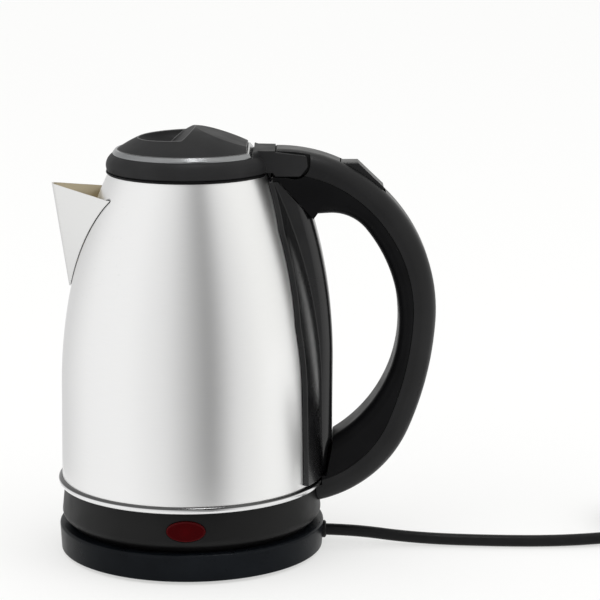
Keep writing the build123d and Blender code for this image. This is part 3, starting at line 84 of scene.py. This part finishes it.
# Supply cord: the route of the CAD tube, then the coil and the tail to the plug
cord_diameter = 0.0068
cord_exit_height = 0.0092
coil_centre = Vector((0.288, 0.041))
coil_outer_radius = 0.041
coil_inner_radius = 0.034
coil_floor = 0.0048
coil_layer_step = 0.0076
coil_spiral_turns = 0.75
coil_climb_turns = 0.5
coil_points_per_turn = 24
plug_axis_height = 0.0189
lead_route = [
    (0.062, 0, cord_exit_height), (0.090, 0, cord_exit_height), (0.128, -0.0015, 0.0042),
    (0.170, -0.005, 0.0035), (0.214, -0.006, 0.0035), (0.2552, 0, coil_floor)]
tail_route = [
    (0.298, 0, 0.0132), (0.306, 0, 0.0181), (0.314, 0, plug_axis_height),
    (boot_x, 0, plug_axis_height)]


def coil_route():
    """Control points of the coil: in, up one layer and out again."""
    turns = 2 * coil_spiral_turns + coil_climb_turns
    steps = round(turns * coil_points_per_turn)
    outward = 1 / math.cos(math.pi / coil_points_per_turn)
    points = []
    for step in range(steps + 1):
        turn = turns * step / steps
        inward = min(turn, turns - turn, coil_spiral_turns) / coil_spiral_turns
        radius = outward * (coil_outer_radius + (coil_inner_radius - coil_outer_radius) * inward)
        climb = min(max((turn - coil_spiral_turns) / coil_climb_turns, 0), 1)
        height = coil_floor + coil_layer_step * (1 - math.cos(math.pi * climb)) / 2
        angle = math.tau * turn - math.pi / 2
        place = coil_centre + radius * Vector((math.cos(angle), math.sin(angle)))
        points.append((place.x, place.y, height))
    return points


def make_cord():
    """Round sheathed cord on one smooth spline, whose points carry its radius."""
    curve = bpy.data.curves.new("supply_cord", "CURVE")
    curve.dimensions = "3D"
    curve.bevel_depth = 1.0
    curve.bevel_resolution = 6
    curve.resolution_u = 8
    curve.use_fill_caps = True
    route = lead_route + coil_route() + tail_route
    spline = curve.splines.new("NURBS")
    spline.points.add(len(route) - 1)
    for point, place in zip(spline.points, route):
        point.co = (*place, 1)
        point.radius = cord_diameter / 2
    spline.order_u = 3
    spline.use_endpoint_u = True
    cord = bpy.data.objects.new("supply_cord", curve)
    scene.collection.objects.link(cord)
    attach(cord, "power_base")
    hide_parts("cord_lead", "cord_coil")
    return cord


supply_cord = make_cord()

# Detail in the materials: scales per metre or radian, depths and radii in metres, turns as cosines
noise_low = 0.3
noise_high = 0.7
bump_strength = 0.6
bevel_samples = 6
plastic_drift_scale = (40, 40, 40)
plastic_gloss_scale = (90, 90, 90)
plastic_grain_scale = (2600, 2600, 2600)
plastic_edge_turn = 0.95
brush_line_scales = (6.0, 5000.0)
brush_cloud_scales = (2.0, 500.0)
brush_depth = 0.0000004
metal_edge = 0.0003
metal_cloud_scale = (300, 300, 300)
metal_scratch_scale = (4000, 300, 4000)
metal_scratch_depth = 0.00001
sheath_cloud_scale = (150, 400, 400)
sheath_grain_scale = (600, 3000, 3000)
sheath_grain_depth = 0.00003
sheath_gloss = 0.15

# Painted shade: dark lines above and below the seam ring's bead and in the spout's joint; lengths in metres,
# open and shut as shares of light
band_fade = 0.0004
seam_lower_line = 0.0009
seam_upper_line = 0.0014
groove_shade_tone = (0.10, 0.10, 0.10)
joint_shade_tone = (0.02, 0.02, 0.02)
joint_shade_reach = 0.0016
joint_open = 0.985
joint_shut = 0.90
joint_front = 0.030
joint_drop = 0.004
joint_samples = 8

# Red lens with a painted glow, from the far end of the glow to the middle, and a painted highlight on its rim
lens_scale = 70.0
lens_gloss = 0.02
lens_roughness = 0.23
lens_edge = 0.0006
lens_edge_turn = 0.9
lens_rim_highlight_tone = (0.30, 0.07, 0.07)
lens_wear_scale = (200, 200, 200)
lens_glow_tones = (
    (0.0, (0.022, 0.0005, 0.001)), (0.30, (0.036, 0.0006, 0.0012)), (0.60, (0.034, 0.0006, 0.0012)),
    (0.78, (0.038, 0.0006, 0.0012)), (1.0, (0.052, 0.0006, 0.0016)))


def grey(tone):
    """Colour without a tint."""
    return (tone, tone, tone)


def new_material(name):
    """Material with its node tree and its main shader."""
    material = bpy.data.materials.new(name)
    material.use_nodes = True
    tree = material.node_tree
    return material, tree, tree.nodes["Principled BSDF"]


def add_node(tree, kind, **settings):
    """Node of one kind with some of its settings."""
    node = tree.nodes.new(kind)
    for key, value in settings.items():
        setattr(node, key, value)
    return node


def feed(tree, value, socket):
    """Link a value into a socket, or set it there if it is a plain number."""
    if isinstance(value, bpy.types.NodeSocket):
        tree.links.new(value, socket)
    else:
        socket.default_value = value


def maths(tree, operation, first, second):
    """Result of one operation on two values."""
    node = add_node(tree, "ShaderNodeMath", operation=operation)
    feed(tree, first, node.inputs[0])
    feed(tree, second, node.inputs[1])
    return node.outputs["Value"]


def remapped(tree, value, start, end, low=0.0, high=1.0):
    """Value that goes from low to high as another goes from start to end."""
    remap = add_node(tree, "ShaderNodeMapRange")
    remap.inputs["From Min"].default_value = start
    remap.inputs["From Max"].default_value = end
    remap.inputs["To Min"].default_value = low
    remap.inputs["To Max"].default_value = high
    tree.links.new(value, remap.inputs["Value"])
    return remap.outputs["Result"]


def axes(tree, vector):
    """The X, Y and Z sockets of a vector."""
    split = add_node(tree, "ShaderNodeSeparateXYZ")
    tree.links.new(vector, split.inputs["Vector"])
    return split.outputs


def object_place(tree):
    """Socket with the place on the object, in metres."""
    return add_node(tree, "ShaderNodeTexCoord").outputs["Object"]


def stretched(tree, scale):
    """Object place scaled by its own amount on each axis."""
    mapping = add_node(tree, "ShaderNodeMapping")
    mapping.inputs["Scale"].default_value = scale
    tree.links.new(object_place(tree), mapping.inputs["Vector"])
    return mapping.outputs["Vector"]


def around_axis(tree, turns_scale, height_scale):
    """Place as angle around the kettle's axis and height, for marks that run around it."""
    place = axes(tree, object_place(tree))
    angle = maths(tree, "ARCTAN2", place["Y"], place["X"])
    join = add_node(tree, "ShaderNodeCombineXYZ")
    tree.links.new(maths(tree, "MULTIPLY", angle, turns_scale), join.inputs["X"])
    tree.links.new(maths(tree, "MULTIPLY", place["Z"], height_scale), join.inputs["Z"])
    return join.outputs["Vector"]


def noise(tree, vector, detail=3.0):
    """Noise value over a place that is already scaled."""
    texture = add_node(tree, "ShaderNodeTexNoise")
    texture.inputs["Scale"].default_value = 1.0
    texture.inputs["Detail"].default_value = detail
    tree.links.new(vector, texture.inputs["Vector"])
    return texture.outputs["Fac"]


def spread(tree, value, middle, below, above):
    """The middle of a noise value's range mapped to figures a little below and above another."""
    return remapped(tree, value, noise_low, noise_high, middle - below, middle + above)


def ramp(tree, value, stops):
    """Colour from stops, each a position and a colour."""
    node = add_node(tree, "ShaderNodeValToRGB")
    elements = node.color_ramp.elements
    for element, (position, colour) in zip(elements, (stops[0], stops[-1])):
        element.position = position
        element.color = (*colour, 1)
    for position, colour in stops[1:-1]:
        elements.new(position).color = (*colour, 1)
    tree.links.new(value, node.inputs["Fac"])
    return node.outputs["Color"]


def tones(tree, value, dark, light):
    """Colour between two tones, over the middle of a noise value's range."""
    return ramp(tree, value, ((noise_low, dark), (noise_high, light)))


def mixed(tree, share, first, second):
    """Colour that goes from one socket's colour to a second, plain one."""
    mix = add_node(tree, "ShaderNodeMix", data_type="RGBA")
    tree.links.new(share, mix.inputs["Factor"])
    tree.links.new(first, mix.inputs["A"])
    mix.inputs["B"].default_value = (*second, 1)
    return mix.outputs["Result"]


def bumped(tree, value, height, normal=None):
    """Normal with a fine relief of the given height in metres."""
    bump = add_node(tree, "ShaderNodeBump")
    bump.inputs["Strength"].default_value = bump_strength
    bump.inputs["Distance"].default_value = height
    tree.links.new(value, bump.inputs["Height"])
    if normal is not None:
        tree.links.new(normal, bump.inputs["Normal"])
    return bump.outputs["Normal"]


def soft_edges(tree, radius):
    """Normal that rounds sharp edges a little."""
    bevel = add_node(tree, "ShaderNodeBevel", samples=bevel_samples)
    bevel.inputs["Radius"].default_value = radius
    return bevel.outputs["Normal"]


def edge_share(tree, rounded, full_turn):
    """1 on a sharp edge and 0 away from it, from how far the rounded normal turns there."""
    turn = add_node(tree, "ShaderNodeVectorMath", operation="DOT_PRODUCT")
    tree.links.new(rounded, turn.inputs[0])
    tree.links.new(add_node(tree, "ShaderNodeNewGeometry").outputs["Normal"], turn.inputs[1])
    return remapped(tree, turn.outputs["Value"], 1.0, full_turn)


def facing_in(tree):
    """1 on the faces that look towards the kettle's middle plane, 0 on the ones that look away."""
    place = add_node(tree, "ShaderNodeTexCoord")
    sides = [axes(tree, place.outputs[output])["Y"] for output in ("Object", "Normal")]
    return maths(tree, "LESS_THAN", maths(tree, "MULTIPLY", *sides), 0.0)


def outside_band(tree, low, high):
    """0 between two heights and 1 beyond them: the share of painted shade above and below the seam ring's
    bead.
    """
    height = axes(tree, object_place(tree))["Z"]
    below = remapped(tree, height, low, low - band_fade)
    above = remapped(tree, height, high, high + band_fade)
    return maths(tree, "MAXIMUM", below, above)


def crevice_shade(tree, reach):
    """Share of painted shade, from ambient occlusion: 1 where another face of the spout's joint is close by,
    0 in the open and away from the spout.
    """
    shut_in = add_node(tree, "ShaderNodeAmbientOcclusion", samples=joint_samples)
    shut_in.inputs["Distance"].default_value = reach
    share = remapped(tree, shut_in.outputs["AO"], joint_open, joint_shut)
    place = axes(tree, object_place(tree))
    for axis, side, limit in (("X", "LESS_THAN", -joint_front), ("Z", "LESS_THAN", body_rim - joint_drop),
                              ("Z", "GREATER_THAN", spout_foot - joint_drop)):
        share = maths(tree, "MULTIPLY", share, maths(tree, side, place[axis], limit))
    return share


def moulded_plastic(name, dark, light, roughness, grain=0.00004, edge=0.0005, gloss=0.25, edge_highlight_tone=None):
    """Moulded plastic: faint colour drift, fine grain and softened edges, with a painted highlight on sharp
    edges where asked.
    """
    material, tree, shader = new_material(name)
    shader.inputs["Specular IOR Level"].default_value = gloss
    rounded = soft_edges(tree, edge)
    colour = tones(tree, noise(tree, stretched(tree, plastic_drift_scale)), dark, light)
    # painted highlight along the sharp edges
    if edge_highlight_tone is not None:
        colour = mixed(tree, edge_share(tree, rounded, plastic_edge_turn), colour, edge_highlight_tone)
    tree.links.new(colour, shader.inputs["Base Color"])
    wear = noise(tree, stretched(tree, plastic_gloss_scale))
    tree.links.new(spread(tree, wear, roughness, below=0.04, above=0.05), shader.inputs["Roughness"])
    fine = noise(tree, stretched(tree, plastic_grain_scale), detail=2.0)
    tree.links.new(bumped(tree, fine, grain, rounded), shader.inputs["Normal"])
    return material


def brushed_steel(name, dark, light, roughness, anisotropy, inner_reflection_tint=None, unshaded_band=None, joint=None):
    """Steel brushed around the kettle's axis; where asked, a painted reflection tint on inward faces, painted
    shade above and below a band, and painted shade in the spout's joint.
    """
    material, tree, shader = new_material(name)
    shader.inputs["Metallic"].default_value = 1.0
    shader.inputs["Anisotropic"].default_value = anisotropy
    lines = noise(tree, around_axis(tree, *brush_line_scales))
    colour = tones(tree, lines, dark, light)
    # painted reflection: a warm tint on the faces that look inward
    if inner_reflection_tint is not None:
        colour = mixed(tree, facing_in(tree), colour, inner_reflection_tint)
    # painted shade: darker above and below the seam ring's bead
    if unshaded_band is not None:
        colour = mixed(tree, outside_band(tree, *unshaded_band), colour, groove_shade_tone)
    # painted shade in the spout's joint, where another face is close by
    if joint is not None:
        colour = mixed(tree, crevice_shade(tree, joint), colour, joint_shade_tone)
    tree.links.new(colour, shader.inputs["Base Color"])
    broad = noise(tree, around_axis(tree, *brush_cloud_scales))
    tree.links.new(spread(tree, broad, roughness, below=0.005, above=0.01), shader.inputs["Roughness"])
    tree.links.new(bumped(tree, lines, brush_depth, soft_edges(tree, metal_edge)), shader.inputs["Normal"])
    tangent = add_node(tree, "ShaderNodeTangent", direction_type="RADIAL", axis="Z")
    tree.links.new(tangent.outputs["Tangent"], shader.inputs["Tangent"])
    return material


def worn_metal(name, dark, light, roughness):
    """Plain metal with a cloudy finish and fine scratches."""
    material, tree, shader = new_material(name)
    shader.inputs["Metallic"].default_value = 1.0
    cloud = noise(tree, stretched(tree, metal_cloud_scale))
    tree.links.new(tones(tree, cloud, dark, light), shader.inputs["Base Color"])
    tree.links.new(spread(tree, cloud, roughness, below=0.06, above=0.08), shader.inputs["Roughness"])
    scratch = noise(tree, stretched(tree, metal_scratch_scale), detail=2.0)
    relief = bumped(tree, scratch, metal_scratch_depth, soft_edges(tree, metal_edge))
    tree.links.new(relief, shader.inputs["Normal"])
    return material


def tinted_lens(name):
    """Deep red clear plastic of the indicator with a painted glow, darker where the lamp behind it ends, and
    a painted highlight on its rim.
    """
    material, tree, shader = new_material(name)
    shader.inputs["Specular IOR Level"].default_value = lens_gloss
    middle = (lens_low + lens_high) / 2
    mapping = add_node(tree, "ShaderNodeMapping")
    mapping.inputs["Location"].default_value = [-place * lens_scale for place in middle]
    mapping.inputs["Scale"].default_value = (lens_scale, lens_scale, lens_scale)
    tree.links.new(object_place(tree), mapping.inputs["Vector"])
    ball = add_node(tree, "ShaderNodeTexGradient", gradient_type="SPHERICAL")
    tree.links.new(mapping.outputs["Vector"], ball.inputs["Vector"])
    rounded = soft_edges(tree, lens_edge)
    # painted highlight on the lens's rim
    rim = edge_share(tree, rounded, lens_edge_turn)
    colour = mixed(tree, rim, ramp(tree, ball.outputs["Fac"], lens_glow_tones), lens_rim_highlight_tone)
    tree.links.new(colour, shader.inputs["Base Color"])
    wear = noise(tree, stretched(tree, lens_wear_scale))
    tree.links.new(spread(tree, wear, lens_roughness, below=0.05, above=0.05), shader.inputs["Roughness"])
    tree.links.new(rounded, shader.inputs["Normal"])
    return material


def sheath(name, dark, light, roughness):
    """Soft plastic sheath with a faint lengthwise grain."""
    material, tree, shader = new_material(name)
    shader.inputs["Specular IOR Level"].default_value = sheath_gloss
    cloud = noise(tree, stretched(tree, sheath_cloud_scale))
    tree.links.new(tones(tree, cloud, dark, light), shader.inputs["Base Color"])
    tree.links.new(spread(tree, cloud, roughness, below=0.05, above=0.08), shader.inputs["Roughness"])
    fine = noise(tree, stretched(tree, sheath_grain_scale), detail=2.0)
    tree.links.new(bumped(tree, fine, sheath_grain_depth), shader.inputs["Normal"])
    return material


def dress(material, *names):
    """Give CAD nodes a material."""
    for name in names:
        nodes[name].data.materials.clear()
        nodes[name].data.materials.append(material)


# Materials: the darker and the lighter tone, then what sets each one apart
handle_black = moulded_plastic(
    "handle_black", (0.004, 0.004, 0.0044), (0.007, 0.007, 0.0075), roughness=0.40)
# darker, duller copy of the handle's black: painted shade for the handle's inside and the line under the
# lid's collar
shade_black = moulded_plastic(
    "shade_black", (0.0025, 0.0025, 0.0028), (0.0045, 0.0045, 0.005), roughness=0.40, gloss=0.08)
spine_black = moulded_plastic(
    "spine_black", (0.004, 0.004, 0.0044), (0.007, 0.007, 0.0075), roughness=0.23, edge=0.0008, gloss=0.6)
lid_black = moulded_plastic(
    "lid_black", (0.016, 0.016, 0.0165), (0.023, 0.023, 0.0235), roughness=0.5, edge=0.001, gloss=0.08)
# lid cap: painted highlight along its sharp edges
cap_black = moulded_plastic(
    "cap_black", (0.016, 0.016, 0.0165), (0.023, 0.023, 0.0235), roughness=0.5, edge=0.0009, gloss=0.08,
    edge_highlight_tone=grey(0.22))
skirt_black = moulded_plastic("skirt_black", grey(0.0024), grey(0.0044), roughness=0.45, gloss=0.2)
# base: painted highlight along its sharp edges
base_black = moulded_plastic(
    "base_black", (0.003, 0.0038, 0.005), (0.006, 0.0074, 0.0095), roughness=0.30, grain=0.00001,
    edge=0.0006, gloss=0.06, edge_highlight_tone=(0.05, 0.055, 0.058))
inner_grey = moulded_plastic("inner_grey", (0.03, 0.03, 0.032), (0.05, 0.05, 0.052), roughness=0.5)
rubber_black = moulded_plastic("rubber_black", grey(0.02), grey(0.035), roughness=0.75, grain=0.0001)
# body and spout steel carry painted shade in the spout's joint
body_steel = brushed_steel(
    "body_steel", (0.87, 0.87, 0.865), (0.89, 0.89, 0.885), roughness=0.28, anisotropy=0.35,
    joint=joint_shade_reach)
# spout: warm painted reflection on its inward faces
spout_steel = brushed_steel(
    "spout_steel", (0.79, 0.79, 0.78), (0.81, 0.81, 0.80), roughness=0.28, anisotropy=0.2,
    inner_reflection_tint=(0.50, 0.43, 0.30), joint=joint_shade_reach)
# seam ring: painted shade lines above and below its bead
seam_steel = brushed_steel(
    "seam_steel", (0.78, 0.78, 0.785), (0.86, 0.86, 0.865), roughness=0.16, anisotropy=0.2,
    unshaded_band=(seam_low.z + seam_lower_line, seam_high.z - seam_upper_line))
trim_silver = brushed_steel(
    "trim_silver", (0.24, 0.245, 0.25), (0.29, 0.295, 0.30), roughness=0.2, anisotropy=0.1)
pin_steel = worn_metal("pin_steel", grey(0.30), grey(0.42), roughness=0.3)
# dark metal of the pins, and the painted shade of the screws' cross recesses
pin_dark_and_recess_shade = worn_metal("pin_dark_and_recess_shade", grey(0.02), grey(0.05), roughness=0.5)
element_grey = worn_metal("element_grey", (0.45, 0.45, 0.46), grey(0.58), roughness=0.45)
contact_brass = worn_metal("contact_brass", (0.58, 0.42, 0.17), (0.74, 0.56, 0.26), roughness=0.3)
lens_red = tinted_lens("lens_red")
cord_black = sheath("cord_black", (0.003, 0.003, 0.0033), (0.006, 0.006, 0.0065), roughness=0.36)

dress(handle_black, "handle_outer", "switch_rocker")
dress(shade_black, "handle_inner")
dress(spine_black, "handle_spine")
dress(lid_black, "lid_collar")
dress(cap_black, "lid_cap")
dress(skirt_black, "floor_housing")
dress(base_black, "base_top_cover", "base_bottom_cover", "connector_pillar")
dress(inner_grey, "control_body", "lamp_holder", "steam_switch", "cord_clamp")
dress(rubber_black, "base_feet", "lid_seal")
dress(body_steel, "body_shell", "spout_filter", "heating_plate", "lid_inner_plate")
dress(spout_steel, "spout")
dress(seam_steel, "seam_ring")
dress(trim_silver, "lid_trim")
dress(pin_steel, "base_screws")
dress(pin_dark_and_recess_shade, "hinge_pin", "rocker_pin")
dress(element_grey, "heat_spreader", "heating_element")
dress(contact_brass, "base_live_contact", "base_neutral_contact", "base_earth_contact",
      "socket_live_ring", "socket_neutral_ring", "socket_earth_pin", "dry_boil_discs", "steam_disc",
      "plug_pins")
dress(lens_red, "indicator_lens", "indicator_lamp")
dress(cord_black, "plug_body", "cord_tie", "cord_bush", "cord_lead", "cord_coil", "switch_strips")
supply_cord.data.materials.append(cord_black)

# Painted shade of the cross recesses in the base screws' heads
screw_circle = 0.066
screw_angles = (60, 180, 300)
screw_cross = 0.0026
screw_slot = 0.0006
screw_mark = 0.00005

# Web and the ring of painted shade under the lid's collar: outlines of radius and height above the body's
# rim, angles in degrees
web_half_angle = 12.5
web_steps = 12
web_outline = [
    (0.04674, -0.0030), (0.04535, 0), (0.04690, 0.00015), (0.04695, 0.0016),
    (0.04775, 0.0016), (0.04775, -0.0006), (0.04765, -0.0007), (0.04765, -0.0030)]
shade_ring_start = 20
shade_ring_steps = 80
shade_ring_outline = [
    (0.04508, 0.0001), (0.04572, -0.0013), (0.0458, -0.0013), (0.04665, -0.0005), (0.0466, 0.0001)]

# Tab of the connector: heights below the pillar's top, angles in degrees
tab_first = -77
tab_last = -57
tab_steps = 8
tab_radius = 0.0130
tab_proud = 0.0001
tab_sunk = 0.0003
tab_upper = 0.0014
tab_lower = 0.0034

# Tongue between the handle's halves: X and Z of the handle's back, and arcs along it
handle_back = [(0.0480, 0.2336), (0.1000, 0.2181), (0.1400, 0.1344), (0.1250, 0.0717), (0.0746, 0.0294)]
neck_heading = 2.0
tongue_steps = 20
tongue_start = 1.4
tongue_end = 2.8
tongue_depth = 0.01315
tongue_half = 0.0003
tongue_width = 0.010


def add_piece(name, points, faces, material, body):
    """Piece that only the looks need, on the body that carries it."""
    mesh = bpy.data.meshes.new(name)
    mesh.from_pydata(points, [], faces)
    mesh.materials.append(material)
    piece = bpy.data.objects.new(name, mesh)
    scene.collection.objects.link(piece)
    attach(piece, body)


def make_screw_recess_shade():
    """Flat dark crosses on the heads of the base screws: painted shade for their cross recesses."""
    arm, half = screw_cross / 2, screw_slot / 2
    outline = [
        (half, half), (half, arm), (-half, arm), (-half, half), (-arm, half), (-arm, -half),
        (-half, -half), (-half, -arm), (half, -arm), (half, -half), (arm, -half), (arm, half)]
    count = len(outline)
    points, faces = [], []
    for turn in screw_angles:
        angle = math.radians(turn)
        middle_x, middle_y = screw_circle * math.cos(angle), screw_circle * math.sin(angle)
        start = len(points)
        for height in (screw_foot - screw_mark, screw_foot + screw_mark):
            points += [(middle_x + x, middle_y + y, height) for x, y in outline]
        faces.append([start + step for step in reversed(range(count))])
        faces.append([start + count + step for step in range(count)])
        for step in range(count):
            after = (step + 1) % count
            faces.append([start + step, start + after, start + count + after, start + count + step])
    add_piece("screw_recess_shade", points, faces, pin_dark_and_recess_shade, "power_base")


def turned(outline, first, last, steps):
    """Points and faces of an outline of radius and height, turned around the kettle's axis."""
    points, faces = [], []
    for row in range(steps + 1):
        angle = math.radians(first + (last - first) * row / steps)
        points += [(radius * math.cos(angle), radius * math.sin(angle), height) for radius, height in outline]
    count = len(outline)
    for row in range(steps):
        here, after = row * count, (row + 1) * count
        for corner in range(count):
            beside = (corner + 1) % count
            faces.append((here + corner, after + corner, after + beside, here + beside))
    faces.append(list(range(count)))
    faces.append([steps * count + corner for corner in reversed(range(count))])
    return points, faces


def from_rim(outline):
    """Outline whose heights are counted from the body's rim."""
    return [(radius, body_rim + rise) for radius, rise in outline]


def make_neck_web():
    """Black web that closes the joint between the lid's collar and the handle's neck."""
    points, faces = turned(from_rim(web_outline), -web_half_angle, web_half_angle, web_steps)
    add_piece("neck_web", points, faces, handle_black, "kettle")


def make_collar_shade_ring():
    """Black ring that shows as a line between the lid's collar and the steel: a dark sheet of painted shade
    under the collar.
    """
    points, faces = turned(from_rim(shade_ring_outline), shade_ring_start, 360 - shade_ring_start, shade_ring_steps)
    add_piece("collar_shade_ring", points, faces, shade_black, "lid")


def make_pillar_tab():
    """Bright metal tab in the side of the base's connector."""
    inside, outside = tab_radius - tab_sunk, tab_radius + tab_proud
    low, high = pillar_top - tab_lower, pillar_top - tab_upper
    outline = [(inside, low), (outside, low), (outside, high), (inside, high)]
    points, faces = turned(outline, tab_first, tab_last, tab_steps)
    add_piece("pillar_tab", points, faces, body_steel, "power_base")


def arc_chain(points, heading, steps):
    """Points along arcs that run into each other through the given ones, with the heading at each."""
    chain = []
    for first, last in zip(points, points[1:]):
        chord = Vector(last) - Vector(first)
        half_turn = math.atan2(chord.y, chord.x) - heading
        half_turn = (half_turn + math.pi) % math.tau - math.pi
        for step in range(steps):
            share = half_turn * step / steps
            reach = chord.length * math.sin(share) / math.sin(half_turn)
            toward = heading + share
            place = Vector(first) + reach * Vector((math.cos(toward), math.sin(toward)))
            chain.append((place, toward + share))
        heading += 2 * half_turn
    return chain


def make_tongue():
    """Strip in the joint between the handle's two halves, as far as the grip goes."""
    chain = arc_chain(handle_back, math.radians(neck_heading), tongue_steps)
    points, faces = [], []
    for back, heading in chain[round(tongue_start * tongue_steps):round(tongue_end * tongue_steps)]:
        across = Vector((math.sin(heading), -math.cos(heading)))
        for depth in (tongue_depth - tongue_half, tongue_depth + tongue_half):
            place = back + depth * across
            points += [(place.x, side, place.y) for side in (-tongue_width / 2, tongue_width / 2)]
    last = len(points) - 4
    for start in range(0, last, 4):
        for one, two in ((0, 1), (1, 3), (3, 2), (2, 0)):
            faces.append((start + one, start + two, start + 4 + two, start + 4 + one))
    faces += [(0, 2, 3, 1), (last, last + 1, last + 3, last + 2)]
    add_piece("parting_tongue", points, faces, handle_black, "kettle")


# Pale floor, soft light from all round, a grey card, two large soft lamps and a small one for glints
floor_half_size = 6.0
floor_tone = 0.93
floor_roughness = 0.9
floor_gloss = 0.1
floor_glow = (1.0, 1.0, 0.985)
floor_glow_share = 0.55
world_light = 1.0
studio_white = (0.985, 0.985, 0.97)
card_left = -175.0
card_right = 60.0
card_radius = 0.20
card_foot = 0.001
card_height = 0.6
card_steps = 60
card_left_tone = 0.75
card_tones = ((-120, 0.72), (-85, 0.96), (-45, 0.985), (-15, 0.83), (3, 0.52), (17, 0.22), (34, 0.80))
body_middle = (0, 0, 0.12)
trim_middle = (0, 0, 0.23)


def seen_directly(tree):
    """1 for what the camera, a reflection or clear plastic shows, 0 for light that falls on the object."""
    rays = add_node(tree, "ShaderNodeLightPath").outputs
    seen = maths(tree, "MAXIMUM", rays["Is Camera Ray"], rays["Is Glossy Ray"])
    return maths(tree, "MAXIMUM", seen, rays["Is Transmission Ray"])


def blended(tree, share, first, second):
    """Shader that goes from one to another."""
    mix = add_node(tree, "ShaderNodeMixShader")
    tree.links.new(share, mix.inputs["Fac"])
    tree.links.new(first, mix.inputs[1])
    tree.links.new(second, mix.inputs[2])
    return mix.outputs["Shader"]


def make_floor():
    """Large pale floor that keeps the object's shadow."""
    mesh = bpy.data.meshes.new("floor")
    half = floor_half_size
    corners = [(-half, -half, 0), (half, -half, 0), (half, half, 0), (-half, half, 0)]
    mesh.from_pydata(corners, [], [(0, 1, 2, 3)])
    floor = bpy.data.objects.new("floor", mesh)
    scene.collection.objects.link(floor)
    material, tree, shader = new_material("floor_pale")
    shader.inputs["Roughness"].default_value = floor_roughness
    shader.inputs["Specular IOR Level"].default_value = floor_gloss
    shader.inputs["Base Color"].default_value = (*grey(floor_tone), 1)
    glow = add_node(tree, "ShaderNodeEmission")
    glow.inputs["Color"].default_value = (*floor_glow, 1)
    share = maths(tree, "MULTIPLY", seen_directly(tree), floor_glow_share)
    surface = blended(tree, share, shader.outputs["BSDF"], glow.outputs["Emission"])
    tree.links.new(surface, tree.nodes["Material Output"].inputs["Surface"])
    mesh.materials.append(material)


def make_world():
    """Plain pale surroundings, which show a little off white."""
    world = bpy.data.worlds.new("studio")
    scene.world = world
    world.use_nodes = True
    tree = world.node_tree
    light = tree.nodes["Background"]
    light.inputs["Color"].default_value = (*grey(world_light), 1)
    white = add_node(tree, "ShaderNodeBackground")
    white.inputs["Color"].default_value = (*studio_white, 1)
    surface = blended(tree, seen_directly(tree), light.outputs["Background"], white.outputs["Background"])
    tree.links.new(surface, tree.nodes["World Output"].inputs["Surface"])


def card_share(bearing):
    """How far along the card a bearing lies, from 0 to 1."""
    return (bearing - card_left) / (card_right - card_left)


def make_card():
    """Bent grey card around the kettle, which only the steel and other glossy faces show."""
    mesh = bpy.data.meshes.new("grey_card")
    points, faces = [], []
    for step in range(card_steps + 1):
        bearing = math.radians(card_left + (card_right - card_left) * step / card_steps)
        for height in (card_foot, card_height):
            points.append((card_radius * math.sin(bearing), -card_radius * math.cos(bearing), height))
    for corner in range(0, 2 * card_steps, 2):
        faces.append((corner, corner + 2, corner + 3, corner + 1))
    mesh.from_pydata(points, [], faces)
    card = bpy.data.objects.new("grey_card", mesh)
    scene.collection.objects.link(card)
    card.visible_camera = False
    card.visible_diffuse = False
    card.visible_transmission = False
    card.visible_shadow = False
    material, tree = new_material("grey_card")[:2]
    place = axes(tree, object_place(tree))
    around = maths(tree, "ARCTAN2", place["X"], maths(tree, "MULTIPLY", place["Y"], -1.0))
    along = remapped(tree, around, math.radians(card_left), math.radians(card_right))
    stops = [(card_share(bearing), grey(tone)) for bearing, tone in card_tones]
    stops = [(0.0, grey(card_left_tone)), *stops, (1.0, studio_white)]
    glow = add_node(tree, "ShaderNodeEmission")
    tree.links.new(ramp(tree, along, stops), glow.inputs["Color"])
    tree.links.new(glow.outputs["Emission"], tree.nodes["Material Output"].inputs["Surface"])
    mesh.materials.append(material)


def soft_lamp(name, place, aim, size, power, glint=False):
    """Soft rectangular lamp that lights matt faces, or one that only shows as a glint in glossy ones."""
    data = bpy.data.lights.new(name, "AREA")
    data.shape = "RECTANGLE"
    data.size, data.size_y = size
    data.energy = power
    lamp = bpy.data.objects.new(name, data)
    lamp.location = place
    lamp.visible_glossy = glint
    lamp.visible_diffuse = not glint
    lamp.rotation_euler = (Vector(aim) - Vector(place)).to_track_quat("-Z", "Y").to_euler()
    scene.collection.objects.link(lamp)


make_screw_recess_shade()
make_neck_web()
make_collar_shade_ring()
make_pillar_tab()
make_tongue()
make_floor()
make_world()
make_card()
soft_lamp("key", place=(-1.6, -1.3, 1.5), aim=body_middle, size=(1.8, 1.8), power=8)
soft_lamp("fill", place=(2.0, -0.9, 1.1), aim=body_middle, size=(1.4, 1.8), power=9)
soft_lamp("glint", place=(0.082, -0.12, 0.92), aim=trim_middle, size=(0.22, 0.14), power=1.6, glint=True)

bpy.context.view_layer.update()
